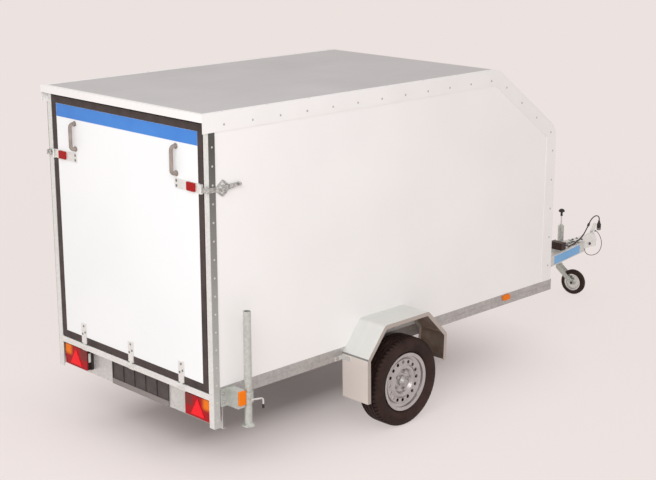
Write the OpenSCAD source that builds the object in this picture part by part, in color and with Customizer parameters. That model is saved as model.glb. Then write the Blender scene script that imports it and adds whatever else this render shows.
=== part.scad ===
// Single-axle enclosed cargo trailer with a sloped nose, a rear ramp door, two prop stands,
// a V-shaped drawbar and a winding nose wheel. It stands on its wheels on the plane z = 0.
// +X points forward, +Y to the left. Places along X are counted from the rear face of the
// corner posts, and the whole trailer is then moved so that its middle is over the origin.

/* [Body] */
// Length from the rear face of the posts to the front of the body
body_l = 3045; // [2800:5:3400]
// Width over the side panels
body_w = 1490; // [1400:2:1600]
// Height of the roof above the ground
roof_z = 2075; // [1950:5:2200]
// Height of the chassis top, where the walls stand
deck_z = 549; // [540:1:560]
// Length of the sloped nose along the floor
slope_run = 633; // [500:1:750]
// Height of the sloped nose
slope_drop = 453; // [350:1:550]
// Bend radius where the roof meets the slope
roof_bend = 95; // [60:1:130]
// Bend radius where the slope meets the front
nose_bend = 150; // [100:1:200]
// Thickness of the wall and roof panels
panel_t = 15; // [12:1:20]
// Thickness of the floor board
floor_t = 15; // [12:1:21]
// Reach of the roof behind the posts
overhang = 41; // [41:1:60]

/* [Trim and posts] */
// Height of the trim band on the sides
trim_h = 102; // [70:1:130]
// Sheet thickness of the trim
trim_t = 3; // [2:0.5:4]
// Width of the trim's fold over the roof
trim_fold = 30; // [20:1:50]
// Height of the white band over the door
band_h = 43; // [30:1:50]
// Width of the rear face of a corner post
post_w = 44; // [40:1:50]
// Depth of the side flange of a corner post
post_d = 42; // [30:1:60]
// Thickness of a corner post
post_t = 4; // [3:0.5:5]
// Height of the lower end of the posts
post_z = 313; // [300:1:330]

/* [Chassis] */
// Height of a side rail
rail_h = 76; // [60:1:90]
// Wall of the side rails and cross members
rail_wall = 3; // [2:0.5:4]
// Reach of the side rails in front of the body
rail_reach = 15; // [5:1:40]
// Width of a cross member
cross_w = 50; // [40:1:70]
// Height of a cross member
cross_h = 60; // [50:1:70]
// Number of cross members between the front and rear ones
cross_count = 3; // [2:1:4]

/* [Door] */
// Thickness of the ramp door
door_t = 25; // [20:1:30]
// Gap all round the door
door_gap = 6; // [5:0.5:8]
// Width of the dark frame round the door
door_frame_w = 42; // [30:1:60]
// Height of the hinge pins
hinge_z = 505; // [495:1:510]
// Distance of the hinge pins behind the posts
hinge_out = 12; // [11:0.5:14]
// Radius of a hinge pin
hinge_pin_r = 5; // [4:0.5:6]
// Height of the hinge straps on the door
strap_h = 138; // [100:1:180]
// Width of a hinge strap
strap_w = 48; // [40:1:60]
// Sideways place of the outer hinges
hinge_y = 469; // [400:1:520]
// Sideways place of the grab handles
handle_y = 472; // [400:1:520]
// Distance of the middle of the grab handles below the roof
handle_drop = 280; // [255:5:330]
// Length of a grab handle
handle_l = 150; // [120:1:180]
// Distance of the latches below the roof
latch_drop = 408; // [395:1:560]

/* [Rear lamps] */
// Width of a rear lamp
lamp_w = 232; // [200:1:240]
// Height of a rear lamp
lamp_h = 136; // [110:1:150]
// Depth of a rear lamp
lamp_d = 48; // [40:1:50]
// Height of the lower edge of the lamps
lamp_z = 329; // [315:1:335]
// Width of the number plate holder
holder_w = 543; // [520:1:560]
// Height of the number plate holder
holder_h = 145; // [125:1:150]

/* [Wheels] */
// Radius of a tyre
tyre_r = 280; // [270:1:290]
// Width of a tyre
tyre_w = 165; // [155:1:175]
// Radius of the rim's flange
rim_r = 183; // [180:0.5:186]
// Distance of the wheels' middle outwards from the side panels
wheel_out = 113; // [109:1:125]
// Distance of the axle in front of the posts
axle_x = 1370; // [1300:5:1450]
// Distance of the bolting face outwards from the wheel's middle
wheel_offset = 30; // [20:1:35]
// Number of vent holes in a wheel
vent_count = 16; // [12:1:18]
// Bolt circle of the wheels
bolt_circle = 112; // [100:1:120]
// Length of a suspension arm
arm_l = 160; // [130:1:180]
// Upward angle of a suspension arm from wheel to beam
arm_deg = 35; // [20:1:45]
// Side of the square axle beam
beam_w = 76; // [60:1:80]

/* [Mudguards] */
// Width of a mudguard
guard_w = 212; // [205:1:240]
// Sheet thickness of a mudguard
guard_t = 2; // [1.5:0.5:3]
// Depth of the folded lip
guard_lip = 25; // [15:1:30]
// Height of a mudguard's top above the axle
guard_top = 420; // [400:1:450]
// Bend radius of a mudguard's folds
guard_bend = 30; // [26:1:45]

/* [Drawbar] */
// Width of a drawbar leg
leg_w = 60; // [50:1:70]
// Height of a drawbar leg
leg_h = 80; // [70:1:90]
// Wall of a drawbar leg
leg_wall = 4; // [3:0.5:6]
// Height of the underside of the legs
leg_z = 350; // [345:1:370]
// Distance of the legs' front end from the posts
leg_tip_x = 4430; // [4300:5:4600]
// Distance of the legs' rear end from the posts
leg_tail_x = 1950; // [1900:5:2200]
// Half the spread of the legs at their rear end
leg_tail_y = 430; // [400:1:450]
// Distance of the coupling ball in front of the legs
ball_reach = 168; // [120:1:190]
// Radius of the coupling's socket
socket_r = 25.2; // [25.1:0.05:25.4]

/* [Nose wheel] */
// Radius of the nose wheel
nose_r = 100; // [90:1:110]
// Width of the nose wheel
nose_w = 44; // [40:1:60]
// Trail of the nose wheel behind its stem
nose_trail = 128; // [110:1:150]
// Direction of the trail, counted from forward
nose_turn = -80; // [-180:1:180]
// Distance of the stem behind the legs' front end
stem_back = 86; // [80:1:130]
// Radius of the outer tube
stem_r = 24; // [22:0.5:25]
// Radius of the inner tube
inner_r = 20; // [17:0.5:20]
// Height of the top of the outer tube
stem_top = 546; // [520:1:570]

/* [Prop stands] */
// Distance of the stands in front of the posts
stand_x = 168; // [150:1:200]
// Distance of the stands outwards from the side panels
stand_out = 95; // [85:1:105]
// Radius of a stand's tube
stand_r = 22; // [18:0.5:23]
// Height of a stand's foot above the ground when raised
stand_lift = 320; // [280:1:330]
// Length of a stand
stand_l = 665; // [600:5:700]

/* [Hidden] */
$fn = 64;

// Clearances: round a turning pin, and round a sliding or seated tube
pin_gap = 0.05;
slide_gap = 0.3;

// How far a cut reaches past the face it opens
cut = 1;

// Steps of a bent outline, of a link's round ends and of a rounded corner
bend_steps = 8;
link_steps = 12;
corner_steps = 4;

// Heights and widths that follow from the body
half_w = body_w / 2;
inner_w = half_w - panel_t;
rail_w = post_w - post_t;
bay_w = half_w - rail_w;
rail_z = deck_z - rail_h;
top_z = roof_z - trim_t;
nose_x = body_l - trim_t;
roof_sheet_t = 2;

// The body's corners over roof, slope and front, and its outline at the panels' outer and inner faces
corner_path = [[-overhang + trim_t, top_z], [nose_x - slope_run, top_z], [nose_x, top_z - slope_drop],
    [nose_x, deck_z]];
body_bends = [roof_bend, nose_bend];
outer_path = bent(corner_path, body_bends, 0);
inner_path = bent(corner_path, body_bends, -panel_t);
trim_path = bent(corner_path, body_bends, trim_t);
trim_inner_path = offset_path(corner_path, trim_t - trim_h);
roof_seam = 1 + bend_steps / 2;
nose_seam = roof_seam + bend_steps + 1;
ceiling_z = top_z - panel_t;
front_inner_x = nose_x - panel_t;

// Chassis
groove_t = 1.5;
groove_h = 5;
groove_z = rail_z + (rail_h - groove_h) / 2;
cross_first = 2 * cross_w;
cross_last = body_l - cross_w - trim_t;
cross_step = (cross_last - cross_first) / (cross_count + 1);

// Door
door_w = bay_w - door_gap;
sill_z = hinge_z + hinge_out - door_gap;
door_z = sill_z + door_gap;
lintel_h = 36;
door_h = ceiling_z - lintel_h - door_gap - door_z;
door_face = 1;
strap_t = 5;
knuckle_gap = 1;
knuckle_r = hinge_out - 1.5 * knuckle_gap;
pin_end = 3;

// Grab handles: standing off the door, with a bend and a round foot at each end
handle_z = roof_z - handle_drop;
handle_reach = 34;
handle_bend = 20;
grip_r = 11;
handle_foot_r = 16;
handle_foot_t = 4;

// Latches: a plate with a reflector and a catch on the door, a hook and a lever on the side
latch_z = roof_z - latch_drop;
plate_t = 4;
latch_h = 52;
latch_w = 240;
latch_gap = 7;
catch_w = 21;
catch_reach = 4 * plate_t;
catch_pin_r = 5;
reflector_w = 70;
reflector_h = 48;
reflector_t = 8;
reflector_in = 62;
latch_x = post_d + 50;
latch_ring_r = 46;
latch_window = 0.72;
latch_boss_r = 20;
latch_boss_t = 16;
hook_h = 28;
lever_l = 112;
lever_r = 15;
lever_tip_r = 9;
lever_t = 8;

// Rear end
bumper_x = 60;
bumper_z = 300;
bumper_lip = 20;
lamp_y = [bay_w - lamp_w, bay_w];
lamp_base_d = 18;
lamp_rim = 4;
lamp_round = 10;
reflex_t = 3;
reflex_w = 120;
reflex_h = 100;
holder_t = 8;
holder_floor = 4;
holder_edge = 6;
holder_strip = 34;
holder_rib = 5;
holder_cells = 5;

// Side markers: one on the rail near the front, one on the end of the stand's arm
marker_l = 64;
marker_h = 34;
marker_t = 12;
marker_back = 520;
marker_drop = 8;
marker_round = 6;
marker_inset = 3;
stand_marker_h = 82;

// Wheels
axle_z = tyre_r;
wheel_y = half_w + wheel_out;
beam_x = axle_x + arm_l * cos(arm_deg);
beam_z = axle_z + arm_l * sin(arm_deg);
rim_half = 62;
sheet_t = 4;
seat_r = rim_r - 18;
well_r = rim_r - 37;
arm_t = 23;
arm_boss_r = 34;
spindle_boss_r = 28;
beam_wall = 6;
spindle_r = 17.5;
spindle_reach = 10;
hub_r = 34;
hub_y = wheel_y + wheel_offset;
flange_t = 12;
stud_r = 7;
nut_r = 11;
nut_h = 13;
bolt_count = 5;
bolt_r = bolt_circle / 2;
hub_end = half_w + arm_t + 2;
barrel_r = hub_r + 6;
flange_r = bolt_r + 14;
spigot_h = 15;
cap_r = hub_r - 4;
cap_tip_r = 16;
cap_h = 18;
vent_r = 11.5;

// Half of the tyre's section: a bead inside the rim's flange, a bulging wall and a shoulder
bead_r = seat_r + 1 + slide_gap;
bead_y = rim_half - 6;
tyre_foot = seat_r + 20;
wall_y = tyre_w / 2;
tread_y = wall_y - 22;
tyre_half_section = [[bead_r, bead_y], [tyre_foot, bead_y], [tyre_foot + 18, wall_y - 5],
    [tyre_foot + 42, wall_y], [tyre_r - 14, wall_y - 8], [tyre_r, tread_y]];

// The rim's section from flange to flange, and the dished disc from the rim's well to its centre hole
rim_path = [[rim_r, rim_half], [seat_r + 1, rim_half - 4], [seat_r, 42], [well_r, 32], [well_r, -12],
    [seat_r, -30], [seat_r + 1, 4 - rim_half], [rim_r, -rim_half]];
shelf_r = [well_r - 10, bolt_r + 52];
shelf_y = wheel_offset + 9;
ridge_y = wheel_offset + 17;
disc_path = [[well_r - 5, -4], [well_r - 6, wheel_offset], [shelf_r[0], shelf_y],
    [shelf_r[1], shelf_y], [bolt_r + 40, ridge_y], [bolt_r + 28, ridge_y], [flange_r, wheel_offset],
    [hub_r, wheel_offset]];
vent_circle_r = (shelf_r[0] + shelf_r[1]) / 2;

// Mudguards: the folds of the sheet from the rear plate's foot over the top to the front plate's foot
guard_rear = [[-365, 240], [-370, 515]];
guard_front = [[339, 523], [333, 347]];
guard_flat = [-220, 165];
guard_path = [for (p = concat(guard_rear, [for (x = guard_flat) [x, axle_z + guard_top]], guard_front))
    [axle_x + p[0], p[1]]];
guard_bends = [guard_bend, guard_bend, guard_bend, guard_bend];
guard_y = half_w + guard_w;
bracket_t = 5;
bracket_l = 70;
bracket_reach = 70;
bracket_h = 26;
bracket_drop = 4;

// Drawbar
leg_tip_y = leg_w / 2 + 2;
leg_deg = atan2(leg_tip_y - leg_tail_y, leg_tip_x - leg_tail_x);
leg_top = leg_z + leg_h;
tie_l = 50;

// Coupling: a pressed neck open below, a round head over the ball, and lugs for the handle
ball_x = leg_tip_x + ball_reach;
ball_lift = 25;
ball_z = leg_z + ball_lift;
head_r = 45;
head_foot = 15;
socket_h = 20;
dome_z = ball_z + head_r;
lip_l = 12;
lip_h = 14;
lip_w = 40;
front_x = ball_x + head_r + lip_l;
mid_x = (front_x - overhang) / 2;
neck_half = 34;
neck_wall = 5;
neck_z = ball_z - head_foot;
neck_step = 8;
neck_rise = 22;
seat_l = 80;
seat_in = 60;
seat_half = 46;
seat_t = 6;
neck_bolt_r = 8;
neck_bolt_head = 5;
handle_half = 10;
handle_boss_r = 14;
handle_tip_r = 10;
lug_t = 5;
lug_r = 11;
lug_pin_r = 5;
lever_reach = 20;
lever_lean = [28, 50];
lever_x = ball_x + lever_reach;
lever_z = dome_z + sqrt(pow(head_r + handle_boss_r + slide_gap, 2) - pow(lever_reach, 2));
lever_top = [lever_x, lever_z] + lever_lean;

// Nose wheel
stem_x = leg_tip_x - stem_back;
leg_outer_y = leg_tip_y + (leg_w / 2 + stem_back * sin(-leg_deg)) / cos(leg_deg);
stem_gap = 12;
stem_y = leg_outer_y + stem_gap + stem_r;
stem_bottom = leg_z - 4;
stem_cap = 5;
clamp_wall = 8;
clamp_inset = 10;
clamp_pad = 6;
clamp_pad_l = 80;
clamp_web = 32;
crank_r = 5;
crank_h = 67;
crank_cap_r = 14;
crank_cap_h = 14;
knob_neck_r = 9;
knob_neck_h = 28;
knob_r = 25;
knob_edge = 8;
knob_h = 31;
fork_z = 2 * nose_r + 18;
fork_t = 5;
fork_gap = 4;
crown_t = 12;
crown_r = inner_r + 8;
crown_plate = 8;
cheek_top_r = 17;
cheek_hub_r = 19;
swivel_r = 10;
nose_pin_r = 8;
nose_nut_r = 14;
nose_nut_h = 8;
inner_spare = 150;
nose_seat_r = nose_r - 32;
nose_hub_r = 20;
nose_web = 7;
nose_half = nose_w / 2;
nose_rim_half = [[nose_pin_r + pin_gap, nose_half + 3], [nose_hub_r, nose_half + 3],
    [nose_hub_r + 4, nose_web], [nose_seat_r - 18, nose_web], [nose_seat_r - 12, nose_half - 6],
    [nose_seat_r, nose_half - 4]];
nose_tyre_half = [[nose_seat_r, nose_half], [nose_r - 10, nose_half], [nose_r, nose_half - 12]];

// Junction box on its plate over the drawbar legs
box_plate_l = 90;
box_plate_half = 110;
box_back = 294;
box_plate_x = stem_x - box_back;
box_x = box_plate_x + 10;
box_l = 56;
box_h = 56;
box_y = [-105, 15];
box_round = 8;
gland_r = 10;
gland_tip_r = 8;

// Prop stands: a plate and a hollow arm on the rail, and a clamp in front of the arm for the stand
stand_y = half_w + stand_out;
stand_wall = 3;
foot_r = 37;
foot_t = 7;
foot_h = 16;
clamp_h = 60;
clamp_z = 460;
clamp_plate_t = 10;
clamp_plate_gap = 2;
clamp_bite = 3;
outrigger_l = 52;
outrigger_wall = 4;
outrigger_front = stand_x - stand_r - clamp_wall + clamp_bite;
outrigger_x = [outrigger_front - outrigger_l, outrigger_front];
outrigger_y = stand_y + 5;
outrigger_z = [436, 537];
lever_turn = 20;
screw_boss_r = 12;
screw_boss_t = 6;
screw_r = 6;
screw_l = 24;
screw_out = stand_r + clamp_wall + screw_boss_t;
rod_r = 5;
rod_l = 54;
rod_bend_r = 14;
rod_drop = 22;
rod_tip_r = 7;
rod_tip_l = 22;

// Cord routes, from the box to the plug and from the coupling to its handle
lead_r = 4.5;
plug_r = 17;
plug_neck_r = 8;
plug_body = 46;
plug_h = 78;
plug_edge = 3;
lead_sides = 10;
wire_sides = 8;
lead_route = [[4136, -76, 458], [4150, -76, 458], [4170, -73, 450], [4190, -69, 441], [4215, -65, 435],
    [4240, -61, 435], [4265, -57, 435], [4290, -53, 436], [4315, -49, 438], [4340, -45, 442],
    [4365, -42, 447], [4390, -40, 454], [4415, -39, 465], [4440, -38, 480], [4462, -37, 498],
    [4482, -36, 518], [4502, -35, 539], [4522, -33, 560], [4544, -30, 578], [4569, -27, 591],
    [4597, -24, 599], [4626, -21, 601], [4652, -18, 596], [4672, -16, 586], [4683, -15, 574],
    [4687, -14, 562], [4687, -14, 550]];
wire_r = 2.5;
wire_route = [[4480, -31, 360], [4480, -31, 348], [4484, -32, 333], [4495, -35, 318], [4512, -39, 305],
    [4534, -44, 296], [4558, -48, 291], [4583, -52, 290], [4608, -54, 293], [4632, -55, 300],
    [4654, -54, 312], [4673, -51, 328], [4687, -47, 347], [4695, -42, 368], [4697, -36, 390],
    [4694, -29, 412], [4686, -22, 433], [4674, -15, 452], [4659, -9, 467], [4645, -4, 472],
    [4632, -4, 472]];

function unit(v) = v / norm(v);
function heading(deg) = [cos(deg), sin(deg)];
function turned(v, deg) = [v[0] * cos(deg) - v[1] * sin(deg), v[0] * sin(deg) + v[1] * cos(deg)];
function side_of(p, i) = let (t = unit(p[i + 1] - p[i])) [-t[1], t[0]];
function reversed(p) = [for (i = [len(p) - 1:-1:0]) p[i]];
function slice(p, first, last) = [for (i = [first:last]) p[i]];

// The same path moved sideways by d, with mitred corners
function offset_path(p, d) = [for (i = [0:len(p) - 1])
    let (a = side_of(p, max(i - 1, 0)), b = side_of(p, min(i, len(p) - 2)))
    p[i] + d * (a + b) / (1 + a * b)];

// The path moved sideways by d, its inner corners bent round the same centres whatever d is
function corner_arc(p, i, r) = let (a = side_of(p, i - 1), b = side_of(p, i), turn = acos(a * b))
    [for (k = [0:bend_steps]) p[i] - r * (a + b) / (1 + a * b) + r * turned(a, -turn * k / bend_steps)];
function bent(path, radii, d) = let (p = offset_path(path, d), last = len(p) - 1)
    concat([p[0]], [for (i = [1:last - 1]) each corner_arc(p, i, radii[i - 1] + d)], [p[last]]);

// The closed outline of a sheet of thickness d along a path
function sheet(p, d) = concat(p, reversed(offset_path(p, d)));

// The closed outline of a turned section whose other half mirrors the given one
function both_edges(side) = concat(side, [for (p = reversed(side)) [p[0], -p[1]]]);

// The outline of a flat link with round ends, of radius ra at a and rb at b
function link(a, ra, b, rb) = let (v = b - a, way = atan2(v[1], v[0]), lean = acos((ra - rb) / norm(v)))
    concat([for (k = [0:link_steps]) a + ra * heading(way + lean + k * (360 - 2 * lean) / link_steps)],
        [for (k = [0:link_steps]) b + rb * heading(way - lean + k * 2 * lean / link_steps)]);

// The outline of a rectangle with rounded corners
function rounded_box(x, y, r) = [for (q = [0:3]) for (k = [0:corner_steps])
    [q == 0 || q == 3 ? x[1] - r : x[0] + r, q < 2 ? y[1] - r : y[0] + r]
        + r * heading(90 * (q + k / corner_steps))];

// A diamond with bulging sides and soft corners
function soft_diamond(r) = [for (a = [0:15:345]) r * [soften(cos(a)), soften(sin(a))]];
function soften(a) = sign(a) * pow(abs(a), 1.5);

// The place along X, at height z, of a plate's edge that leans from a to b
function edge_x(a, b, z) = a[0] + (b[0] - a[0]) * (z - a[1]) / (b[1] - a[1]);

// A block between two places along each axis
module slab(x, y, z) {
    translate([x[0], y[0], z[0]]) cube([x[1] - x[0], y[1] - y[0], z[1] - z[0]]);
}

// A profile drawn in X and Z, made as wide as the span y
module across(y) {
    translate([0, y[1], 0]) rotate([90, 0, 0]) linear_extrude(y[1] - y[0]) children();
}

// A profile drawn in Y and Z, made as deep as the span x
module along(x) {
    translate([x[0], 0, 0]) rotate([90, 0, 90]) linear_extrude(x[1] - x[0]) children();
}

// A round bar along Y, and one along X
module bar_y(r, x, y, z) {
    translate([x, y[0], z]) rotate([-90, 0, 0]) cylinder(r = r, h = y[1] - y[0]);
}
module bar_x(r, x, y, z) {
    translate([x[0], y, z]) rotate([0, 90, 0]) cylinder(r = r, h = x[1] - x[0]);
}

// A quarter turn of round rod, from in front of its centre to above it
module rod_bend(bend, r) {
    rotate([90, 0, 0]) rotate_extrude(angle = 90) translate([bend, 0]) circle(r);
}

// The left-hand shape and its mirror image on the right
module both_sides() {
    children();
    mirror([0, 1, 0]) children();
}
module right_side() {
    mirror([0, 1, 0]) children();
}

// A round tube swept along a cord's route
module cord(route, r, sides) {
    last = len(route) - 1;
    rings = [for (i = [0:last])
        let (t = unit(route[min(i + 1, last)] - route[max(i - 1, 0)]),
            u = unit(cross(t, [0, 1, 0])), v = cross(t, u))
        for (k = [0:sides - 1]) route[i] + r * (cos(360 * k / sides) * u + sin(360 * k / sides) * v)];
    walls = [for (i = [0:last - 1]) for (k = [0:sides - 1])
        let (n = (k + 1) % sides, a = i * sides, b = a + sides) [a + k, a + n, b + n, b + k]];
    ends = [[for (k = [sides - 1:-1:0]) k], [for (k = [0:sides - 1]) last * sides + k]];
    polyhedron(rings, concat(walls, ends));
}

// Box sections with a shallow groove rolled along their outer face
module side_rails() {
    color("silver") both_sides() difference() {
        slab([post_t, body_l + rail_reach], [bay_w, half_w], [rail_z, deck_z]);
        slab([0, body_l + 2 * rail_reach], [bay_w + rail_wall, half_w - rail_wall],
            [rail_z + rail_wall, deck_z - rail_wall]);
        slab([0, body_l + 2 * rail_reach], [half_w - groove_t, half_w + cut],
            [groove_z, groove_z + groove_h]);
    }
}

// A channel across the chassis, open at the back
module cross_member(x) {
    difference() {
        slab([x, x + cross_w], [-bay_w, bay_w], [deck_z - cross_h, deck_z]);
        slab([x - cut, x + cross_w - rail_wall], [-half_w, half_w],
            [deck_z - cross_h + rail_wall, deck_z - rail_wall]);
    }
}
module cross_members() {
    color("silver") for (i = [0:cross_count + 1]) cross_member(cross_first + i * cross_step);
}

module rear_sill() {
    color("silver") difference() {
        slab([0, cross_first], [-bay_w, bay_w], [rail_z, sill_z]);
        slab([rail_wall, 2 * cross_first], [-half_w, half_w], [rail_z + rail_wall, sill_z - rail_wall]);
    }
}

// One folded sheet behind the rear sill, with a lip along its lower edge
module bumper_plate() {
    path = [[cross_first, rail_z], [bumper_x, rail_z], [bumper_x, bumper_z],
        [bumper_x + bumper_lip, bumper_z]];
    color("silver") across([-half_w, half_w]) polygon(sheet(path, rail_wall));
}

module leg() {
    intersection() {
        translate([leg_tail_x, leg_tail_y, leg_z]) rotate(leg_deg) difference() {
            slab([0, leg_tip_x], [-leg_w / 2, leg_w / 2], [0, leg_h]);
            slab([-cut, 2 * leg_tip_x], [-leg_w / 2 + leg_wall, leg_w / 2 - leg_wall],
                [leg_wall, leg_h - leg_wall]);
        }
        slab([0, leg_tip_x], [0, body_w], [0, deck_z]);
    }
}
module drawbar_legs() {
    color("silver") {
        both_sides() leg();
        slab([box_plate_x, box_plate_x + box_plate_l], [-box_plate_half, box_plate_half],
            [leg_top, leg_top + plate_t]);
        slab([leg_tip_x - tie_l, leg_tip_x], [-leg_tip_y - leg_w / 2, leg_tip_y + leg_w / 2],
            [leg_top, leg_top + plate_t]);
    }
}

// Half the spread of the legs' middle lines at a place along X
function leg_y(x) = leg_tip_y + (leg_tip_x - x) * tan(-leg_deg);
module drawbar_brackets() {
    color("silver") both_sides() for (i = [cross_count, cross_count + 1])
        let (x = cross_first + i * cross_step) if (x > leg_tail_x)
            slab([x, x + cross_w], [leg_y(x) - leg_w / 2, leg_y(x) + leg_w / 2],
                [leg_top, deck_z - cross_h]);
}

module axle_beam() {
    color("silver") {
        translate([beam_x, 0, beam_z]) difference() {
            cube([beam_w, body_w, beam_w], center = true);
            cube([beam_w - 2 * beam_wall, 2 * body_w, beam_w - 2 * beam_wall], center = true);
        }
        both_sides() slab([beam_x - beam_w / 2, beam_x + beam_w / 2], [bay_w, half_w],
            [beam_z + beam_w / 2, rail_z]);
    }
}

module suspension_arms() {
    color("dimgray") both_sides() {
        across([half_w, half_w + arm_t])
            polygon(link([axle_x, axle_z], spindle_boss_r, [beam_x, beam_z], arm_boss_r));
        bar_y(spindle_r, axle_x, [half_w + arm_t / 2, hub_y + spindle_reach], axle_z);
    }
}

module floor_panel() {
    color("saddlebrown") slab([door_t + door_gap, front_inner_x], [-inner_w, inner_w],
        [deck_z, deck_z + floor_t]);
}

module side_panel() {
    color("white") across([inner_w, half_w])
        polygon(concat([[post_t, deck_z], [post_t, ceiling_z]], slice(inner_path, 1, len(inner_path) - 1)));
}
module side_panel_left() side_panel();
module side_panel_right() right_side() side_panel();

// The stretch of the body's outline between two of its points, as one panel
module outline_panel(first, last) {
    across([-half_w, half_w])
        polygon(concat(slice(outer_path, first, last), reversed(slice(inner_path, first, last))));
}
module front_panel() color("white") outline_panel(nose_seam, len(outer_path) - 1);
module slope_panel() color("white") outline_panel(roof_seam, nose_seam);
module roof_panel() color("white") outline_panel(0, roof_seam);
module roof_sheet() {
    color("silver") slab([trim_fold - overhang, outer_path[1][0]], [trim_fold - half_w, half_w - trim_fold],
        [top_z, top_z + roof_sheet_t]);
}

// A folded strip along the body's edge: a band on the side with mitred inner corners, and a fold over it
module edge_trim() {
    color("white") {
        across([half_w, half_w + trim_t]) polygon(concat(trim_path, reversed(trim_inner_path)));
        across([half_w - trim_fold, half_w + trim_t]) polygon(concat(trim_path, reversed(outer_path)));
    }
}
module edge_trim_left() edge_trim();
module edge_trim_right() right_side() edge_trim();

module rear_band() {
    color("white") {
        slab([-overhang, -overhang + trim_t], [-half_w - trim_t, half_w + trim_t],
            [roof_z - band_h, roof_z]);
        slab([-overhang + trim_t, -overhang + trim_fold], [-half_w + trim_fold, half_w - trim_fold],
            [top_z, roof_z]);
    }
}

module door_lintel() {
    color("dimgray") slab([0, 2 * lintel_h], [-bay_w, bay_w], [ceiling_z - lintel_h, ceiling_z]);
}

module corner_posts() {
    color("silver") both_sides() {
        slab([0, post_t], [bay_w, half_w], [post_z, ceiling_z]);
        slab([0, post_d], [half_w, half_w + post_t], [post_z, roof_z - trim_h]);
    }
}

// Three hinges: fixed leaves with the pins, and straps on the door
module hinge_places() {
    for (y = [-hinge_y, 0, hinge_y]) translate([-hinge_out, y, hinge_z]) children();
}
module hinge_brackets() {
    ear = strap_w / 4;
    color("silver") hinge_places() {
        slab([hinge_out - strap_t, hinge_out], [-strap_w / 2, strap_w / 2],
            [rail_z - hinge_z, -knuckle_r - knuckle_gap]);
        for (y = [-strap_w / 2, strap_w / 2 - ear]) {
            bar_y(knuckle_r, 0, [y, y + ear], 0);
            slab([hinge_out - strap_t, hinge_out], [y, y + ear], [-knuckle_r - 2 * knuckle_gap, 0]);
            slab([0, hinge_out], [y, y + ear], [-knuckle_r, 0]);
        }
        bar_y(hinge_pin_r, 0, [-strap_w / 2 - pin_end, strap_w / 2 + pin_end], 0);
    }
}
module hinge_straps() {
    tongue = strap_w / 4 - knuckle_gap;
    color("silver") hinge_places() difference() {
        union() {
            bar_y(knuckle_r, 0, [-tongue, tongue], 0);
            slab([0, hinge_out], [-tongue, tongue], [0, knuckle_r]);
            slab([hinge_out - strap_t, hinge_out], [-tongue, tongue], [0, knuckle_r + strap_t]);
            slab([hinge_out - strap_t, hinge_out], [-strap_w / 2, strap_w / 2],
                [knuckle_r + strap_t / 2, strap_h]);
        }
        bar_y(hinge_pin_r + pin_gap, 0, [-strap_w, strap_w], 0);
    }
}

module door_panel() {
    color("white") slab([door_face, door_t], [-door_w + door_frame_w, door_w - door_frame_w],
        [door_z + door_frame_w, door_z + door_h - door_frame_w]);
}
module door_frame() {
    color("black") difference() {
        slab([0, door_t], [-door_w, door_w], [door_z, door_z + door_h]);
        slab([-cut, door_t + cut], [-door_w + door_frame_w, door_w - door_frame_w],
            [door_z + door_frame_w, door_z + door_h - door_frame_w]);
    }
}

module grab_handles() {
    end = handle_l / 2 - handle_bend;
    color("dimgray") for (y = [-handle_y, handle_y]) translate([door_face, y, handle_z]) {
        translate([-handle_reach, 0, -end]) cylinder(r = grip_r, h = 2 * end);
        for (way = [0, 1]) mirror([0, 0, way]) {
            translate([handle_bend - handle_reach, 0, end]) mirror([1, 0, 0]) rod_bend(handle_bend, grip_r);
            bar_x(grip_r, [handle_bend - handle_reach, 0], 0, handle_l / 2);
            bar_x(handle_foot_r, [-handle_foot_t, 0], 0, handle_l / 2);
        }
    }
}

module latch_plates() {
    z = [latch_z - latch_h / 2, latch_z + latch_h / 2];
    color("silver") both_sides() {
        slab([-plate_t, 0], [door_w - latch_w, door_w - door_face], z);
        for (foot = [z[0], z[1] - plate_t])
            slab([-catch_reach, -plate_t], [door_w - catch_w - door_face, door_w - door_face],
                [foot, foot + plate_t]);
        translate([plate_t - catch_reach, door_w - catch_w / 2, z[0]])
            cylinder(r = catch_pin_r, h = latch_h);
    }
}
module door_reflectors() {
    y = [door_w - reflector_in - reflector_w, door_w - reflector_in];
    color("red") both_sides() along([-plate_t - reflector_t, -plate_t])
        polygon(rounded_box(y, [latch_z - reflector_h / 2, latch_z + reflector_h / 2], marker_round));
}

// A ring with a pivot boss and a lever on the side panel, and a flat hook round the post's edge
module side_latches() {
    side = half_w + post_t;
    pivot = [latch_x, latch_z];
    hook_z = [latch_z - hook_h / 2, latch_z + hook_h / 2];
    color("silver") both_sides() {
        across([half_w, side]) translate(pivot) difference() {
            polygon(soft_diamond(latch_ring_r));
            polygon(soft_diamond(latch_window * latch_ring_r));
        }
        bar_y(latch_boss_r, latch_x, [half_w, side + latch_boss_t], latch_z);
        slab([-catch_reach, latch_x], [side, side + plate_t], hook_z);
        slab([-catch_reach, plate_t - catch_reach], [door_w + latch_gap, side + plate_t], hook_z);
        across([side, side + lever_t])
            polygon(link(pivot, lever_r, pivot + [lever_l, lever_tip_r], lever_tip_r));
        bar_y(lever_tip_r, latch_x + lever_l, [side, side + latch_boss_t], latch_z + lever_tip_r);
    }
}

module lamp_housings() {
    color("black") both_sides() along([bumper_x - lamp_base_d, bumper_x])
        polygon(rounded_box(lamp_y, [lamp_z, lamp_z + lamp_h], lamp_round));
}

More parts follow.
